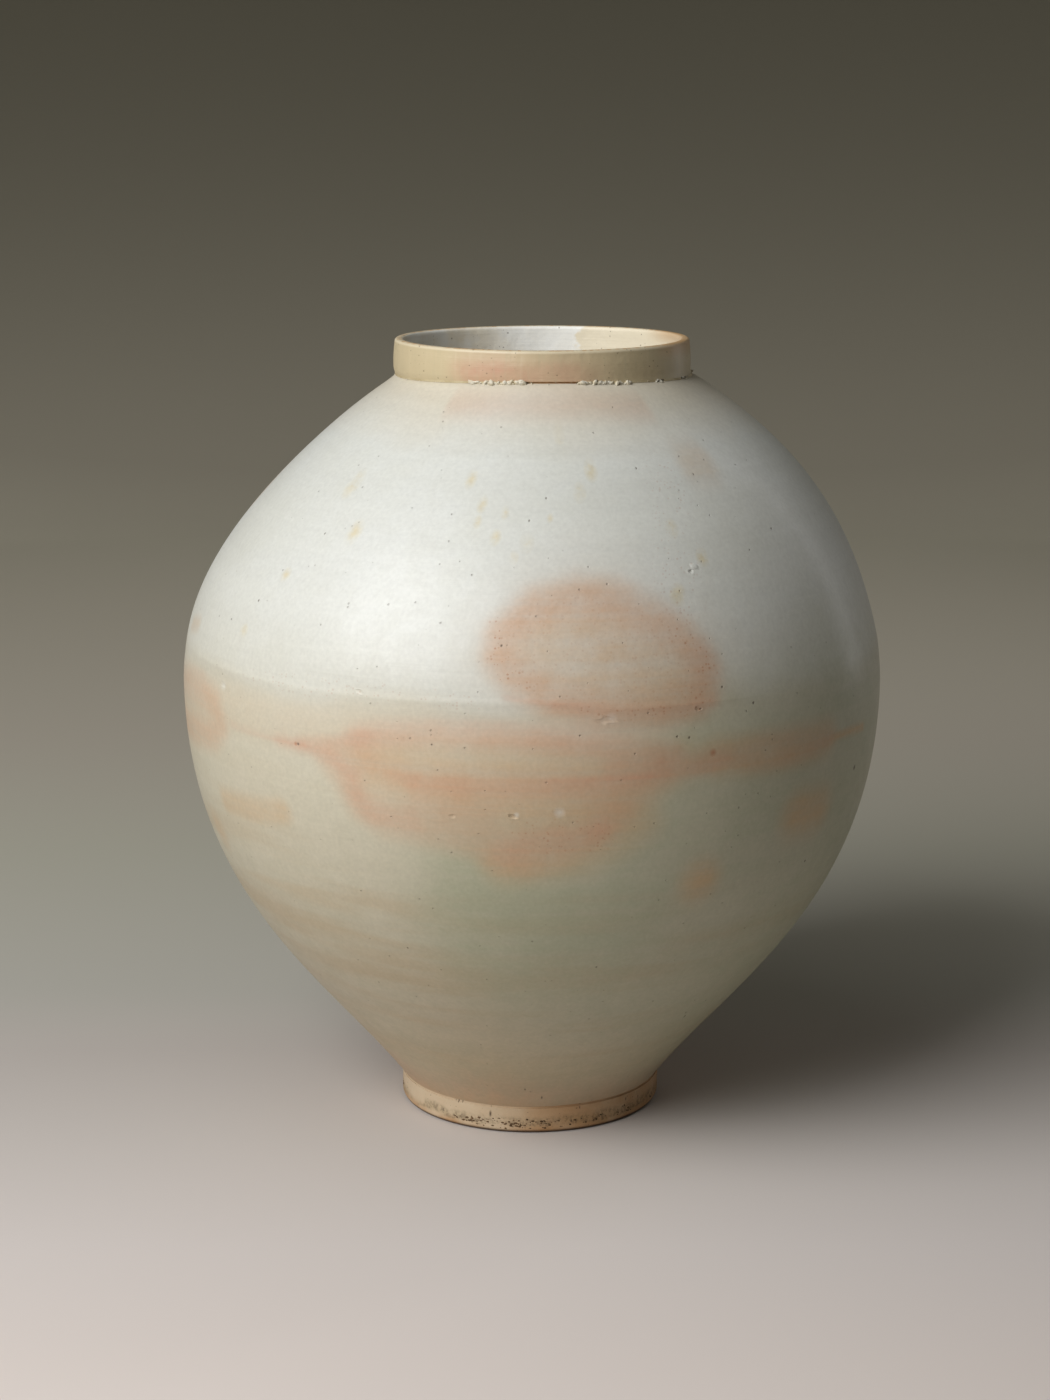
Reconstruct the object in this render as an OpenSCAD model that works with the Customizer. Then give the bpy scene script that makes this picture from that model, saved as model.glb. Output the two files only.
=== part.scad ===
// Korean moon jar, sizes in millimetres
// Two deep bowls are luted rim to rim with slip. A short mouth ring stands on the upper bowl,
// a foot ring carries the lower one, and glaze coats all but the foot.
// The jar stands on z = 0 with its foot centred on the z axis, and its mouth leans to the right.

/* [Overall] */
// Height of the jar, from the resting face to the top of the lip
jar_height = 387; // [350:1:430]
// Widest diameter, over the glaze
belly_d = 346.4; // [320:0.2:380]
// Height of the widest point
belly_z = 220; // [205:1:232]

/* [Outline of the body] */
// Diameter of the body where it meets the foot
base_d = 130.6; // [120:0.2:140]
// Angle between the wall and the vertical, just above the foot
base_angle = 36.2; // [26:0.1:45]
// How long the wall stays straight above the foot
base_pull = 69.5; // [50:0.5:90]
// How long the wall stays upright below the widest point
belly_pull_down = 108; // [80:1:120]
// How long the wall stays upright above the widest point
belly_pull_up = 46; // [25:1:65]
// Diameter of the shoulder where the mouth ring stands
neck_d = 144.8; // [130:0.2:160]
// Angle between the shoulder and the vertical, just below the mouth ring
shoulder_angle = 57; // [50:0.5:62]
// How long the shoulder stays straight below the mouth ring
shoulder_pull = 84.5; // [55:0.5:105]

/* [Lean] */
// How far the mouth stands to the right of the foot
mouth_lean = 6.2; // [0:0.1:9]
// Height of the last stretch under the mouth ring, which stands upright again
lean_top = 24; // [10:1:40]

/* [Walls] */
// Wall of both bowls at the belly, clay alone
bowl_wall = 8; // [6:0.1:11]
// Extra wall of the lower bowl at the foot
foot_thickening = 5; // [0:0.5:8]
// Thickness of the lower bowl's floor
floor_t = 11; // [8:0.5:16]
// Height over which the inside floor curves up into the wall
floor_rise = 16; // [10:1:30]
// How far out the inside floor stays nearly level
floor_flat = 43; // [30:1:55]
// How long the inside wall stays straight above that curve
floor_pull = 9; // [4:0.5:12]

/* [Seam at the belly] */
// Height of the seam above the widest point
seam_rise = 20; // [12:0.5:40]
// Thickness of the slip between the two rims
seam_slip_t = 1.5; // [0.8:0.1:3]
// Height of the roll of slip smeared over the seam inside
roll_h = 14; // [10:1:24]
// How far that roll stands into the jar
roll_t = 2.4; // [1:0.1:4]

/* [Mouth ring] */
// Height of the mouth ring, clay alone
collar_h = 16.5; // [12:0.5:26]
// Wall of the mouth ring, clay alone
collar_wall = 4; // [3:0.1:6]
// How much the ring swells at half height
collar_swell = 0.7; // [0:0.1:1.5]
// How much the lip is drawn in
lip_draw = 0.7; // [0:0.1:1.5]
// Thickness of the slip under the mouth ring
collar_slip_t = 1; // [0.8:0.1:2]

/* [Foot] */
// How far the foot ring stands out past the glaze above it
foot_ledge = 0.3; // [0:0.1:2]
// Height of the foot ring, clay alone
foot_h = 13; // [10:0.5:16]
// Width of the foot ring
foot_w = 12.5; // [10:0.5:16]
// Rounding of the foot's outer lower edge
foot_round = 2.6; // [1:0.1:3.5]
// Slope worn into the foot's inner lower edge
foot_bevel = 2; // [0.5:0.1:3]
// Thickness of the slip between the foot and the bowl
foot_slip_t = 1; // [0.5:0.1:2]
// Fillet of slip in the corner behind the foot
foot_fillet = 2.5; // [1:0.1:4]

/* [Glaze] */
// Glaze outside
glaze_t = 0.8; // [0.6:0.05:1.2]
// Glaze inside
inner_glaze_t = 0.7; // [0.5:0.05:1.2]
// Glaze over the mouth ring
collar_glaze_t = 0.5; // [0.4:0.05:0.8]
// Glaze on the underside, inside the foot
base_glaze_t = 0.7; // [0.5:0.05:1.2]

/* [Kiln marks] */
// Size of a glaze crumb in the groove under the mouth ring
crumb_d = 2.2; // [1.6:0.1:2.8]
// Gap between a crumb and the mouth ring
crumb_gap = 0.2; // [0.1:0.05:0.6]
// Distance from one crumb to the next
crumb_pitch = 3.9; // [3.4:0.1:5]
// Crumbs in each of the two rows
crumb_count = 8; // [4:1:10]
// Size of a sand grain fused to the foot
grain_d = 1.9; // [1.2:0.1:2.4]
// Distance from one grain to the next in a course
grain_pitch = 6; // [4:0.1:8]
// Grains in each of the three courses
grain_count = 17; // [6:1:22]

/* [Hidden] */
round_fn = 180;
small_fn = 24;
cut = 1;

// Straight stretches that stand for each curve
side_steps = 20;
lean_steps = 30;
lean_parts = 24;
crown_steps = 3;
rim_steps = 2;
inside_steps = 16;
floor_steps = 10;
arc_angle = 15;

// Where the two rows of crumbs begin, in degrees to the right of the front
crumb_start_angles = [-29, 12];
// Where the grains begin, and how far each course is turned on
grain_start_angle = -45;
grain_turn_angle = 1;
grain_courses = 3;

// Levels, from the resting face up
base_z = foot_h + foot_slip_t;
floor_z = base_z + floor_t;
wall_z = floor_z + floor_rise;
seam_z = belly_z + seam_rise;
slip_z = seam_z + seam_slip_t;
roll_low_z = slip_z - roll_h / 2;
roll_high_z = slip_z + roll_h / 2;
collar_z = jar_height - collar_glaze_t - collar_h;
seat_z = collar_z - collar_slip_t;

// Radii of the mouth ring and the foot
belly_r = belly_d / 2;
collar_r = neck_d / 2 - collar_glaze_t;
bore_r = collar_r - collar_wall;
foot_r = base_d / 2 + foot_ledge;
foot_bore_r = foot_r - foot_w;

// Outline over the glaze, two curves that meet upright at the widest point
low_curve = [
    [base_d / 2, base_z],
    [base_d / 2 + base_pull * sin(base_angle), base_z + base_pull * cos(base_angle)],
    [belly_r, belly_z - belly_pull_down],
    [belly_r, belly_z]
];
high_curve = [
    [belly_r, belly_z],
    [belly_r, belly_z + belly_pull_up],
    [neck_d / 2 + shoulder_pull * sin(shoulder_angle), seat_z - shoulder_pull * cos(shoulder_angle)],
    [neck_d / 2, seat_z]
];

// A point on a curve, and the direction there
function at(c, t) = pow(1 - t, 3) * c[0] + 3 * pow(1 - t, 2) * t * c[1]
    + 3 * (1 - t) * t * t * c[2] + pow(t, 3) * c[3];
function dir(c, t) = 3 * pow(1 - t, 2) * (c[1] - c[0]) + 6 * (1 - t) * t * (c[2] - c[1])
    + 3 * t * t * (c[3] - c[2]);

// Place on a curve where it passes a height, by halving
function place(c, z, lo = 0, hi = 1, n = 24) = n == 0 ? (lo + hi) / 2
    : let (mid = (lo + hi) / 2)
      at(c, mid)[1] < z ? place(c, z, mid, hi, n - 1) : place(c, z, lo, mid, n - 1);

// A point this deep under the outline, measured square to the wall but kept at its own height
function under(c, t, deep) = let (d = dir(c, t)) at(c, t) - [deep * norm(d) / d[1], 0];

// The curve between two heights, this deep under the outline
function run(c, z0, z1, steps, deep) = let (t0 = place(c, z0), t1 = place(c, z1))
    [for (i = [0 : steps]) let (t = t0 + (t1 - t0) * i / steps)
        [under(c, t, deep)[0], i == 0 ? z0 : i == steps ? z1 : at(c, t)[1]]];

// Clay wall plus glaze at a height of the lower bowl, which thickens towards the foot
function low_depth(z) = let (left = max(0, (belly_z - z) / (belly_z - base_z)))
    glaze_t + bowl_wall + foot_thickening * left * left;
function low_run(z0, z1, steps, more) = let (t0 = place(low_curve, z0), t1 = place(low_curve, z1))
    [for (i = [0 : steps]) let (t = t0 + (t1 - t0) * i / steps, p = at(low_curve, t))
        [under(low_curve, t, low_depth(p[1]) + more)[0], i == 0 ? z0 : i == steps ? z1 : p[1]]];

function after_first(list) = [for (i = [1 : len(list) - 1]) list[i]];
function backwards(list) = [for (i = [len(list) - 1 : -1 : 0]) list[i]];

// Outside of the jar from the foot to the seam, over the upper bowl's rim, and up to the mouth ring
function outside_low(deep) = concat(run(low_curve, base_z, belly_z, side_steps, deep),
    after_first(run(high_curve, belly_z, seam_z, crown_steps, deep)));
function outside_rim(deep) = run(high_curve, slip_z, roll_high_z, rim_steps, deep);
function outside_high(deep) = run(high_curve, roll_high_z, seat_z, lean_steps, deep);

// How far the jar leans to the right at a height, having settled to one side in the kiln
function lean(z) = let (u = max(0, min(1, (z - roll_high_z) / (seat_z - lean_top - roll_high_z))),
        ease = u * u * (3 - 2 * u))
    mouth_lean / lean_parts * round(lean_parts * ease);

// Inside of the jar, "more" being a coat on the clay. The neck hole's coat is flush with the ring's.
function floor_line(more) = let (wall = low_run(wall_z, wall_z + 1, 1, more),
        up = (wall[1] - wall[0]) / norm(wall[1] - wall[0]),
        curve = [[0, floor_z + more], [floor_flat, floor_z + more], wall[0] - up * floor_pull, wall[0]])
    [for (i = [0 : floor_steps - 1]) at(curve, i / floor_steps)];
function inside_low(more) = concat(floor_line(more), low_run(wall_z, belly_z, inside_steps, more),
    after_first(run(high_curve, belly_z, roll_low_z, crown_steps, glaze_t + bowl_wall + more)));
function inside_high(more) =
    [for (p = run(high_curve, roll_high_z, seat_z, lean_steps, glaze_t + bowl_wall + more))
        [max(p[0], bore_r - (more > 0 ? collar_glaze_t : 0)), p[1]]];
function outside_at(z, deep) = [under(high_curve, place(high_curve, z), deep)[0], z];
function inside_at(z, more) = under(high_curve, place(high_curve, z), glaze_t + bowl_wall + more)[0];

// The roll of slip over the seam inside
function roll_point(a, more) = let (z = slip_z - roll_h / 2 * cos(a),
        edge_z = a < 90 ? roll_low_z : roll_high_z, part = abs(cos(a)))
    [inside_at(edge_z, more) * part + inside_at(slip_z, more) * (1 - part) - roll_t * sin(a), z];
function roll(more) = [for (a = [arc_angle : arc_angle : 180 - arc_angle]) roll_point(a, more)];

// A turned solid from its outline
module turned(outline) {
    rotate_extrude($fn = round_fn) polygon(outline);
}

// The wall between two outlines with the same heights, turned course by course as it leans
module leaning(outside, inside) {
    for (i = [0 : len(outside) - 2]) translate([lean((outside[i][1] + outside[i + 1][1]) / 2), 0, 0])
        turned([outside[i], outside[i + 1], inside[i + 1], inside[i]]);
}

module lower_bowl() {
    color("#cbb79a") turned(concat([[0, base_z]], outside_low(glaze_t),
        [[inside_at(seam_z, 0), seam_z]], backwards(inside_low(0))));
}

module upper_bowl() {
    color("#d2c0a4") union() {
        turned(concat(outside_rim(glaze_t),
            [[inside_at(roll_high_z, 0), roll_high_z], [inside_at(slip_z, 0), slip_z]]));
        leaning(outside_high(glaze_t), inside_high(0));
    }
}

module belly_slip() {
    color("#b9a78c") turned(concat([outside_at(seam_z, glaze_t), [inside_at(seam_z, 0), seam_z],
            [inside_at(roll_low_z, 0), roll_low_z]],
        roll(0), [[inside_at(roll_high_z, 0), roll_high_z], [inside_at(slip_z, 0), slip_z],
            outside_at(slip_z, glaze_t)]));
}

// Outside of the mouth ring at a share of its height
function collar_side(u, coat) = collar_r + coat + collar_swell * 4 * u * (1 - u) - lip_draw * u * u;
function collar_outline(coat, foot) = let (
        lip_r = (collar_side(1, 0) - bore_r) / 2,
        lip_z = jar_height - collar_glaze_t - lip_r,
        lip_mid = bore_r + lip_r)
    concat([for (u = [0 : 0.125 : 1]) [collar_side(u, coat), foot + (lip_z - foot) * u]],
        [for (a = [arc_angle : arc_angle : 180 - arc_angle])
            [lip_mid + (lip_r + coat) * cos(a), lip_z + (lip_r + coat) * sin(a)]],
        [[bore_r - coat, lip_z], [bore_r - coat, foot]]);

module neck_collar() {
    color("#d8c6a2") translate([mouth_lean, 0, 0]) turned(collar_outline(0, collar_z));
}

module collar_slip() {
    color("#b08a62") translate([mouth_lean, 0, seat_z]) difference() {
        cylinder(h = collar_slip_t, r = under(high_curve, 1, glaze_t)[0], $fn = round_fn);
        translate([0, 0, -cut]) cylinder(h = collar_slip_t + 2 * cut, r = bore_r, $fn = round_fn);
    }
}

module foot_ring() {
    color("#c8a981") turned(concat([[foot_bore_r, foot_h], [foot_bore_r, foot_bevel],
            [foot_bore_r + foot_bevel, 0]],
        [for (a = [-90 : arc_angle : 0]) [foot_r - foot_round + foot_round * cos(a),
            foot_round + foot_round * sin(a)]],
        [[foot_r, foot_h]]));
}

module foot_slip() {
    color("#b39a78") turned(concat([[under(low_curve, 0, glaze_t)[0], foot_h],
            [under(low_curve, 0, glaze_t)[0], base_z], [foot_bore_r - foot_fillet, base_z]],
        [for (a = [90 - arc_angle : -arc_angle : arc_angle])
            [foot_bore_r - foot_fillet + foot_fillet * cos(a), base_z - foot_fillet + foot_fillet * sin(a)]],
        [[foot_bore_r, base_z - foot_fillet], [foot_bore_r, foot_h]]));
}

module outer_glaze() {
    color("#dfe0d8") union() {
        turned(concat(outside_low(0), outside_rim(0), backwards(outside_rim(glaze_t)),
            backwards(outside_low(glaze_t))));
        leaning(outside_high(0), outside_high(glaze_t));
    }
}

module inner_glaze() {
    color("#e6e4dc") union() {
        turned(concat(inside_low(0), roll(0), [inside_high(0)[0], inside_high(inner_glaze_t)[0]],
            backwards(roll(inner_glaze_t)), backwards(inside_low(inner_glaze_t))));
        leaning(inside_high(0), inside_high(inner_glaze_t));
    }
}

module collar_glaze() {
    color("#e2d3b2") translate([mouth_lean, 0, 0]) turned(concat(
        collar_outline(collar_glaze_t, collar_z), backwards(collar_outline(0, collar_z))));
}

module base_glaze() {
    color("#dcd9cc") translate([0, 0, base_z - base_glaze_t])
        cylinder(h = base_glaze_t, r = foot_bore_r - foot_fillet, $fn = round_fn);
}

// The last stretch of the shoulder, as a plug
module shoulder_edge() {
    edge = outside_high(0);
    top = edge[lean_steps];
    below = edge[lean_steps - 1];
    turned([[0, below[1]], below, top, [0, top[1]]]);
}

// Crumbs lie on the upper edge of the shoulder, just clear of the mouth ring
module collar_crumbs() {
    pitch = crumb_pitch / (neck_d / 2) * 180 / PI;
    color("#eeeae0") for (start = crumb_start_angles, i = [0 : crumb_count - 1]) {
        size = crumb_d * (0.75 + 0.25 * sin(137 * i + start));
        out = size / 2 + crumb_gap;
        turn = start + pitch * (i + 0.15 * sin(97 * i));
        translate([mouth_lean, 0, 0]) rotate([0, 0, turn - 90]) difference() {
            translate([neck_d / 2 + out, 0, seat_z - out / tan(shoulder_angle)])
                sphere(d = size, $fn = small_fn);
            shoulder_edge();
        }
    }
}

// Each grain is bedded in the foot to its middle, and the lowest course lies just over the rounding
module kiln_grit() {
    pitch = grain_pitch / foot_r * 180 / PI;
    color("#6a5138") for (course = [0 : grain_courses - 1], i = [0 : grain_count - 1]) {
        size = grain_d * (0.7 + 0.3 * sin(151 * i + 60 * course));
        turn = grain_start_angle + pitch * (i + 0.2 * sin(83 * i)) + grain_turn_angle * course;
        rotate([0, 0, turn - 90]) difference() {
            translate([foot_r, 0, foot_round + grain_d * (0.5 + 1.1 * course)])
                sphere(d = size, $fn = small_fn);
            cylinder(h = foot_h, r = foot_r, $fn = round_fn);
        }
    }
}

lower_bowl();
upper_bowl();
belly_slip();
neck_collar();
collar_slip();
foot_ring();
foot_slip();
outer_glaze();
inner_glaze();
collar_glaze();
base_glaze();
collar_crumbs();
kiln_grit();
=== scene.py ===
import math
import random

import bpy
import numpy as np
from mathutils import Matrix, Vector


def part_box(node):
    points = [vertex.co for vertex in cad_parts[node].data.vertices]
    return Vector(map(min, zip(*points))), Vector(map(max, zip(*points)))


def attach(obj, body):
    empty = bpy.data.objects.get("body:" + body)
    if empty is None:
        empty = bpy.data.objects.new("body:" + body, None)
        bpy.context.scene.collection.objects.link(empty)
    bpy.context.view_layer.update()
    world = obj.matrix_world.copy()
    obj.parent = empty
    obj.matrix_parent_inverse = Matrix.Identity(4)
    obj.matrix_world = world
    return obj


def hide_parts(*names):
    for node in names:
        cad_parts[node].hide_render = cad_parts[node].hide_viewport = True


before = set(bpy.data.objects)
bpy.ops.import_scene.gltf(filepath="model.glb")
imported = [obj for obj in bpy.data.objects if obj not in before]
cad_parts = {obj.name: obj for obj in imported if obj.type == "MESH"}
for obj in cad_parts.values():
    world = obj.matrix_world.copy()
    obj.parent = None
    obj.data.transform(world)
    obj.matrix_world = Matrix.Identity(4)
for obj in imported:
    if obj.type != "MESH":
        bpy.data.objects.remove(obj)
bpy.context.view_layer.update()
print("frame loaded:", len(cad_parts), "nodes")

# The view of the photo, found from the jar's outline in it
camera = {
    "distance": 1.4020,      # in front of the jar's axis
    "height": 0.5159,
    "sideways": -0.0034,
    "pitchDown": 12.49,      # degrees
    "lens": 73.57,
    "sensor": 36.0,
}

# Outline of the jar over the glaze, the same curves as in the frame, in metres and degrees
shape = {
    "baseAngle": 36.2,       # wall against the vertical just above the foot
    "basePull": 0.0695,
    "bellyHeight": 0.220,
    "bellyPullDown": 0.108,
    "bellyPullUp": 0.046,
    "neckRadius": 0.0724,
    "shoulderAngle": 57.0,
    "shoulderPull": 0.0845,
    "footLedge": 0.0003,
    "seam": 0.240,
    "seamSlip": 0.0015,
    "rollHeight": 0.014,
    "rollOut": 0.0024,
}

walls = {
    "glaze": 0.0008,
    "innerGlaze": 0.0007,
    "mouthGlaze": 0.0005,
    "clay": 0.008,
    "footThickening": 0.005,
    "floor": 0.011,
    "floorRise": 0.016,
    "floorFlat": 0.043,
    "floorPull": 0.009,
    "mouthWall": 0.004,
}

# How the jar is out of true
settling = {
    "lean": 0.0069,          # the neck stands this far to the right
    "leanRange": (0.2485, 0.345),
    "ringBack": 0.0020,      # the mouth ring was set back this far to the left
    "ringRange": (0.365, 0.373),
    "footAside": 0.0008,     # the foot stands this far to the left
    "footRange": (0, 0.13),
    "stillFloor": (0.03, 0.06),      # nearer to the axis, nothing is out of round
    "outOfRound": 0.0004,
    "lipDrop": 0.0007,       # the lip dips at the back
    "lipHighSide": 15.0,
    "jointRise": 0.0028,     # the shoulder climbs the mouth ring at the front
    "jointFrom": 0.350,
    "ridge": 0.00024,        # slip standing proud along the seam
    "hollow": 0.0009,        # shallow hollow under it
}

# The seam between the bowls, in degrees to the right of the front and millimetres
seamForm = {
    "height": 241.2,
    "dip": 3.6,              # it dips a little to the right of the front
    "dipFrom": (2, 14),
    "dipTo": (60, 120),
    "waver": 0.5,
    "frontFrom": (-78, -58),     # it shows most on the front
    "frontTo": (24, 44),
    "backFrom": (100, 130),
    "backShare": 0.7,
    "ridgeWidth": 1.6,
    "hollowBelow": 9,
    "hollowWidth": 6.5,
}

mesh = {
    "wedges": 360,           # faces round a piece that shows
    "hiddenWedges": 180,
    "ringStep": 0.002,
    "seamStep": 0.0006,
    "seamReach": 0.009,      # the rings are close together this far from the seam
    "innerStep": 0.006,
    "shoulderStep": 0.003,
    "endsOnly": 1.0,         # a step too long for any stretch, which leaves its two ends
    "hiddenStep": 0.010,
    "weld": 0.00002,
}

mm = 0.001
bodyLow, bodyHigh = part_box("outer_glaze")
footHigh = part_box("foot_ring")[1]
mouthLow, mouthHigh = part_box("collar_glaze")
slipLow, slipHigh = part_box("collar_slip")
bellyRadius = bodyHigh.y
footRadius = footHigh.y
baseHeight = bodyLow.z
neckHeight = bodyHigh.z
mouthRadius = shape["neckRadius"] - walls["mouthGlaze"]
boreRadius = mouthRadius - walls["mouthWall"]
floorHeight = baseHeight + walls["floor"]
wallFoot = floorHeight + walls["floorRise"]
seam = shape["seam"]
seamTop = seam + shape["seamSlip"]
rollLow = seamTop - shape["rollHeight"] / 2
rollHigh = seamTop + shape["rollHeight"] / 2


def linear(hexColour):
    # A hex colour as the render shows it, turned into the shader's own scale
    parts = [int(hexColour[i:i + 2], 16) / 255 for i in (1, 3, 5)]
    return [p / 12.92 if p <= 0.04045 else ((p + 0.055) / 1.055) ** 2.4 for p in parts] + [1.0]


def smooth(low, high, value):
    part = np.clip((value - low) / (high - low), 0, 1)
    return part * part * (3 - 2 * part)


def bezier(points, count=400):
    t = np.linspace(0, 1, count)[:, None]
    a, b, c, d = (np.array(p, float) for p in points)
    return (1 - t) ** 3 * a + 3 * (1 - t) ** 2 * t * b + 3 * (1 - t) * t * t * c + t ** 3 * d


def bodyCurve():
    baseRadius = footRadius - shape["footLedge"]
    tilt = math.radians(shape["baseAngle"])
    pull = shape["basePull"]
    belly = shape["bellyHeight"]
    lower = bezier([(baseRadius, baseHeight),
                    (baseRadius + pull * math.sin(tilt), baseHeight + pull * math.cos(tilt)),
                    (bellyRadius, belly - shape["bellyPullDown"]),
                    (bellyRadius, belly)])
    tilt = math.radians(shape["shoulderAngle"])
    pull = shape["shoulderPull"]
    neck = shape["neckRadius"]
    upper = bezier([(bellyRadius, belly),
                    (bellyRadius, belly + shape["bellyPullUp"]),
                    (neck + pull * math.sin(tilt), neckHeight - pull * math.cos(tilt)),
                    (neck, neckHeight)])
    return np.vstack([lower, upper[1:]])


outlineCurve = bodyCurve()
outlineSlope = np.gradient(outlineCurve[:, 0], outlineCurve[:, 1])


def wallRadius(height, depth=0.0):
    # Radius at a height, this deep under the glaze's face, measured square to the wall
    slope = np.interp(height, outlineCurve[:, 1], outlineSlope)
    return np.interp(height, outlineCurve[:, 1], outlineCurve[:, 0]) - depth * np.sqrt(1 + slope * slope)


def clayDepth(height):
    left = np.clip((shape["bellyHeight"] - height) / (shape["bellyHeight"] - baseHeight), 0, 1)
    return walls["glaze"] + walls["clay"] + walls["footThickening"] * left * left


def levels(low, high, step):
    return list(np.linspace(low, high, max(2, int(round((high - low) / step)) + 1)))


def outside(low, high, step, depth=0.0):
    return [(float(wallRadius(z, depth)), float(z)) for z in levels(low, high, step)]


def outsideFine():
    # Rings close together beside the seam, where the ridge is
    near = mesh["seamReach"]
    heights = (levels(baseHeight, seam - near, mesh["ringStep"])[:-1]
               + levels(seam - near, seam + near, mesh["seamStep"])[:-1]
               + levels(seam + near, neckHeight, mesh["ringStep"]))
    return [(float(wallRadius(z)), float(z)) for z in heights]


def innerWall(low, high, step, coat=0.0, bore=0.0):
    return [(max(bore, float(wallRadius(z, clayDepth(z) + coat))), float(z)) for z in levels(low, high, step)]


def innerPoint(height):
    return innerWall(height, height, mm)[:1]


def floorLine(coat=0.0):
    (r0, z0), (r1, z1) = innerWall(wallFoot, wallFoot + mm, mm, coat)    # the wall's direction there
    long = math.hypot(r1 - r0, z1 - z0)
    pull = walls["floorPull"]
    curve = bezier([(0, floorHeight + coat), (walls["floorFlat"], floorHeight + coat),
                    (r0 - (r1 - r0) / long * pull, z0 - (z1 - z0) / long * pull), (r0, z0)], 11)
    return [(float(r), float(z)) for r, z in curve[:-1]]


def deselectAll():
    if bpy.context.object and bpy.context.object.mode != "OBJECT":
        bpy.ops.object.mode_set(mode="OBJECT")
    bpy.ops.object.select_all(action="DESELECT")


def spinLine(name, line, wedges, inward=False):
    # One point is drawn out along the line, which is then spun round the jar's axis
    deselectAll()
    bpy.ops.mesh.primitive_plane_add(size=mm, location=(0, 0, 0))
    piece = bpy.context.object
    piece.name = piece.data.name = name
    bpy.ops.object.mode_set(mode="EDIT")
    bpy.ops.mesh.select_all(action="SELECT")
    bpy.ops.mesh.merge(type="CENTER")
    bpy.ops.transform.translate(value=(line[0][0], 0, line[0][1]))
    for here, there in zip(line, line[1:]):
        step = (there[0] - here[0], 0, there[1] - here[1])
        bpy.ops.mesh.extrude_region_move(TRANSFORM_OT_translate={"value": step})
    bpy.ops.mesh.select_all(action="SELECT")
    bpy.ops.mesh.spin(steps=wedges, angle=2 * math.pi, center=(0, 0, 0), axis=(0, 0, 1))
    bpy.ops.mesh.select_all(action="SELECT")
    bpy.ops.mesh.remove_doubles(threshold=mesh["weld"])
    bpy.ops.mesh.normals_make_consistent(inside=inward)
    bpy.ops.object.mode_set(mode="OBJECT")
    return piece


def turnOnWheel(name, outline, wedges):
    return spinLine(name, outline + [outline[0]], wedges)


def readPlaces(piece):
    places = np.empty(len(piece.data.vertices) * 3, np.float32)
    piece.data.vertices.foreach_get("co", places)
    return places.reshape(-1, 3).astype(float)


def writePlaces(piece, places):
    piece.data.vertices.foreach_set("co", places.astype(np.float32).ravel())
    piece.data.update()


def turnAndHeight(places):
    # Degrees to the right of the front, and height in millimetres
    return np.degrees(np.arctan2(places[:, 0], -places[:, 1])), places[:, 2] / mm


def fromAxis(places):
    return np.hypot(places[:, 0], places[:, 1])


def writeWidened(piece, places, grow):
    # Every place is moved out from the axis, or in, by its own factor
    places[:, :2] *= grow[:, None]
    writePlaces(piece, places)


def seamLine(turn):
    # Height of the seam, which dips a little to the right of the front
    dip = smooth(*seamForm["dipFrom"], turn) * (1 - smooth(*seamForm["dipTo"], turn))
    waver = seamForm["waver"] * np.sin(np.radians(turn * 3 + 20))
    return seamForm["height"] - seamForm["dip"] * dip + waver


def outOfTrue(turn, height):
    # How far the wall stands out at a place, in metres
    angle = np.radians(turn)
    oval = np.sin(2 * angle + 0.7 + height * 0.004) * 0.6 + np.sin(3 * angle + 2.1 - height * 0.006) * 0.4
    wall = smooth(14, 90, height) * (1 - smooth(330, 366, height))
    out = -settling["outOfRound"] * (0.5 + 0.5 * oval) * wall
    above = height - seamLine(turn)
    front = smooth(*seamForm["frontFrom"], turn) * (1 - smooth(*seamForm["frontTo"], turn))
    back = smooth(*seamForm["backFrom"], np.abs(turn)) * seamForm["backShare"]
    strength = (0.15 + 0.85 * np.maximum(front, back)) * (0.75 + 0.25 * np.sin(angle * 5 + 1.0))
    out += settling["ridge"] * strength * np.exp(-(above / seamForm["ridgeWidth"]) ** 2)
    hollow = np.exp(-((above + seamForm["hollowBelow"]) / seamForm["hollowWidth"]) ** 2)
    return out - settling["hollow"] * strength * hollow


def settled(places):
    turn, height = turnAndHeight(places)
    level = places[:, 2]
    radius = np.maximum(fromAxis(places), 1e-9)
    grow = 1 + outOfTrue(turn, height) / radius * smooth(*settling["stillFloor"], radius)
    moved = places * np.stack([grow, grow, np.ones(len(grow))], axis=1)
    moved[:, 0] += settling["lean"] * smooth(*settling["leanRange"], level)
    moved[:, 0] -= settling["ringBack"] * smooth(*settling["ringRange"], level)
    moved[:, 0] -= settling["footAside"] * (1 - smooth(*settling["footRange"], level))
    front = np.clip(np.cos(np.radians(turn)), 0, 1) ** 2
    climb = smooth(settling["jointFrom"], neckHeight, level)
    climb *= 1 - smooth(neckHeight, mouthHigh.z - 2 * mm, level)
    moved[:, 2] += settling["jointRise"] * front * climb
    dip = (0.5 - 0.5 * np.cos(np.radians(turn - settling["lipHighSide"]))) ** 3
    moved[:, 2] -= settling["lipDrop"] * dip * smooth(neckHeight + mm, mouthHigh.z, level)
    return moved


def settle(piece):
    places = readPlaces(piece)
    kept = piece.data.attributes.new("thrown", "FLOAT_VECTOR", "POINT")
    kept.data.foreach_set("vector", places.astype(np.float32).ravel())
    writePlaces(piece, settled(places))


def polish(piece, angle=40):
    deselectAll()
    piece.select_set(True)
    bpy.context.view_layer.objects.active = piece
    bpy.ops.object.shade_smooth_by_angle(angle=math.radians(angle))
    piece.select_set(False)


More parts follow.
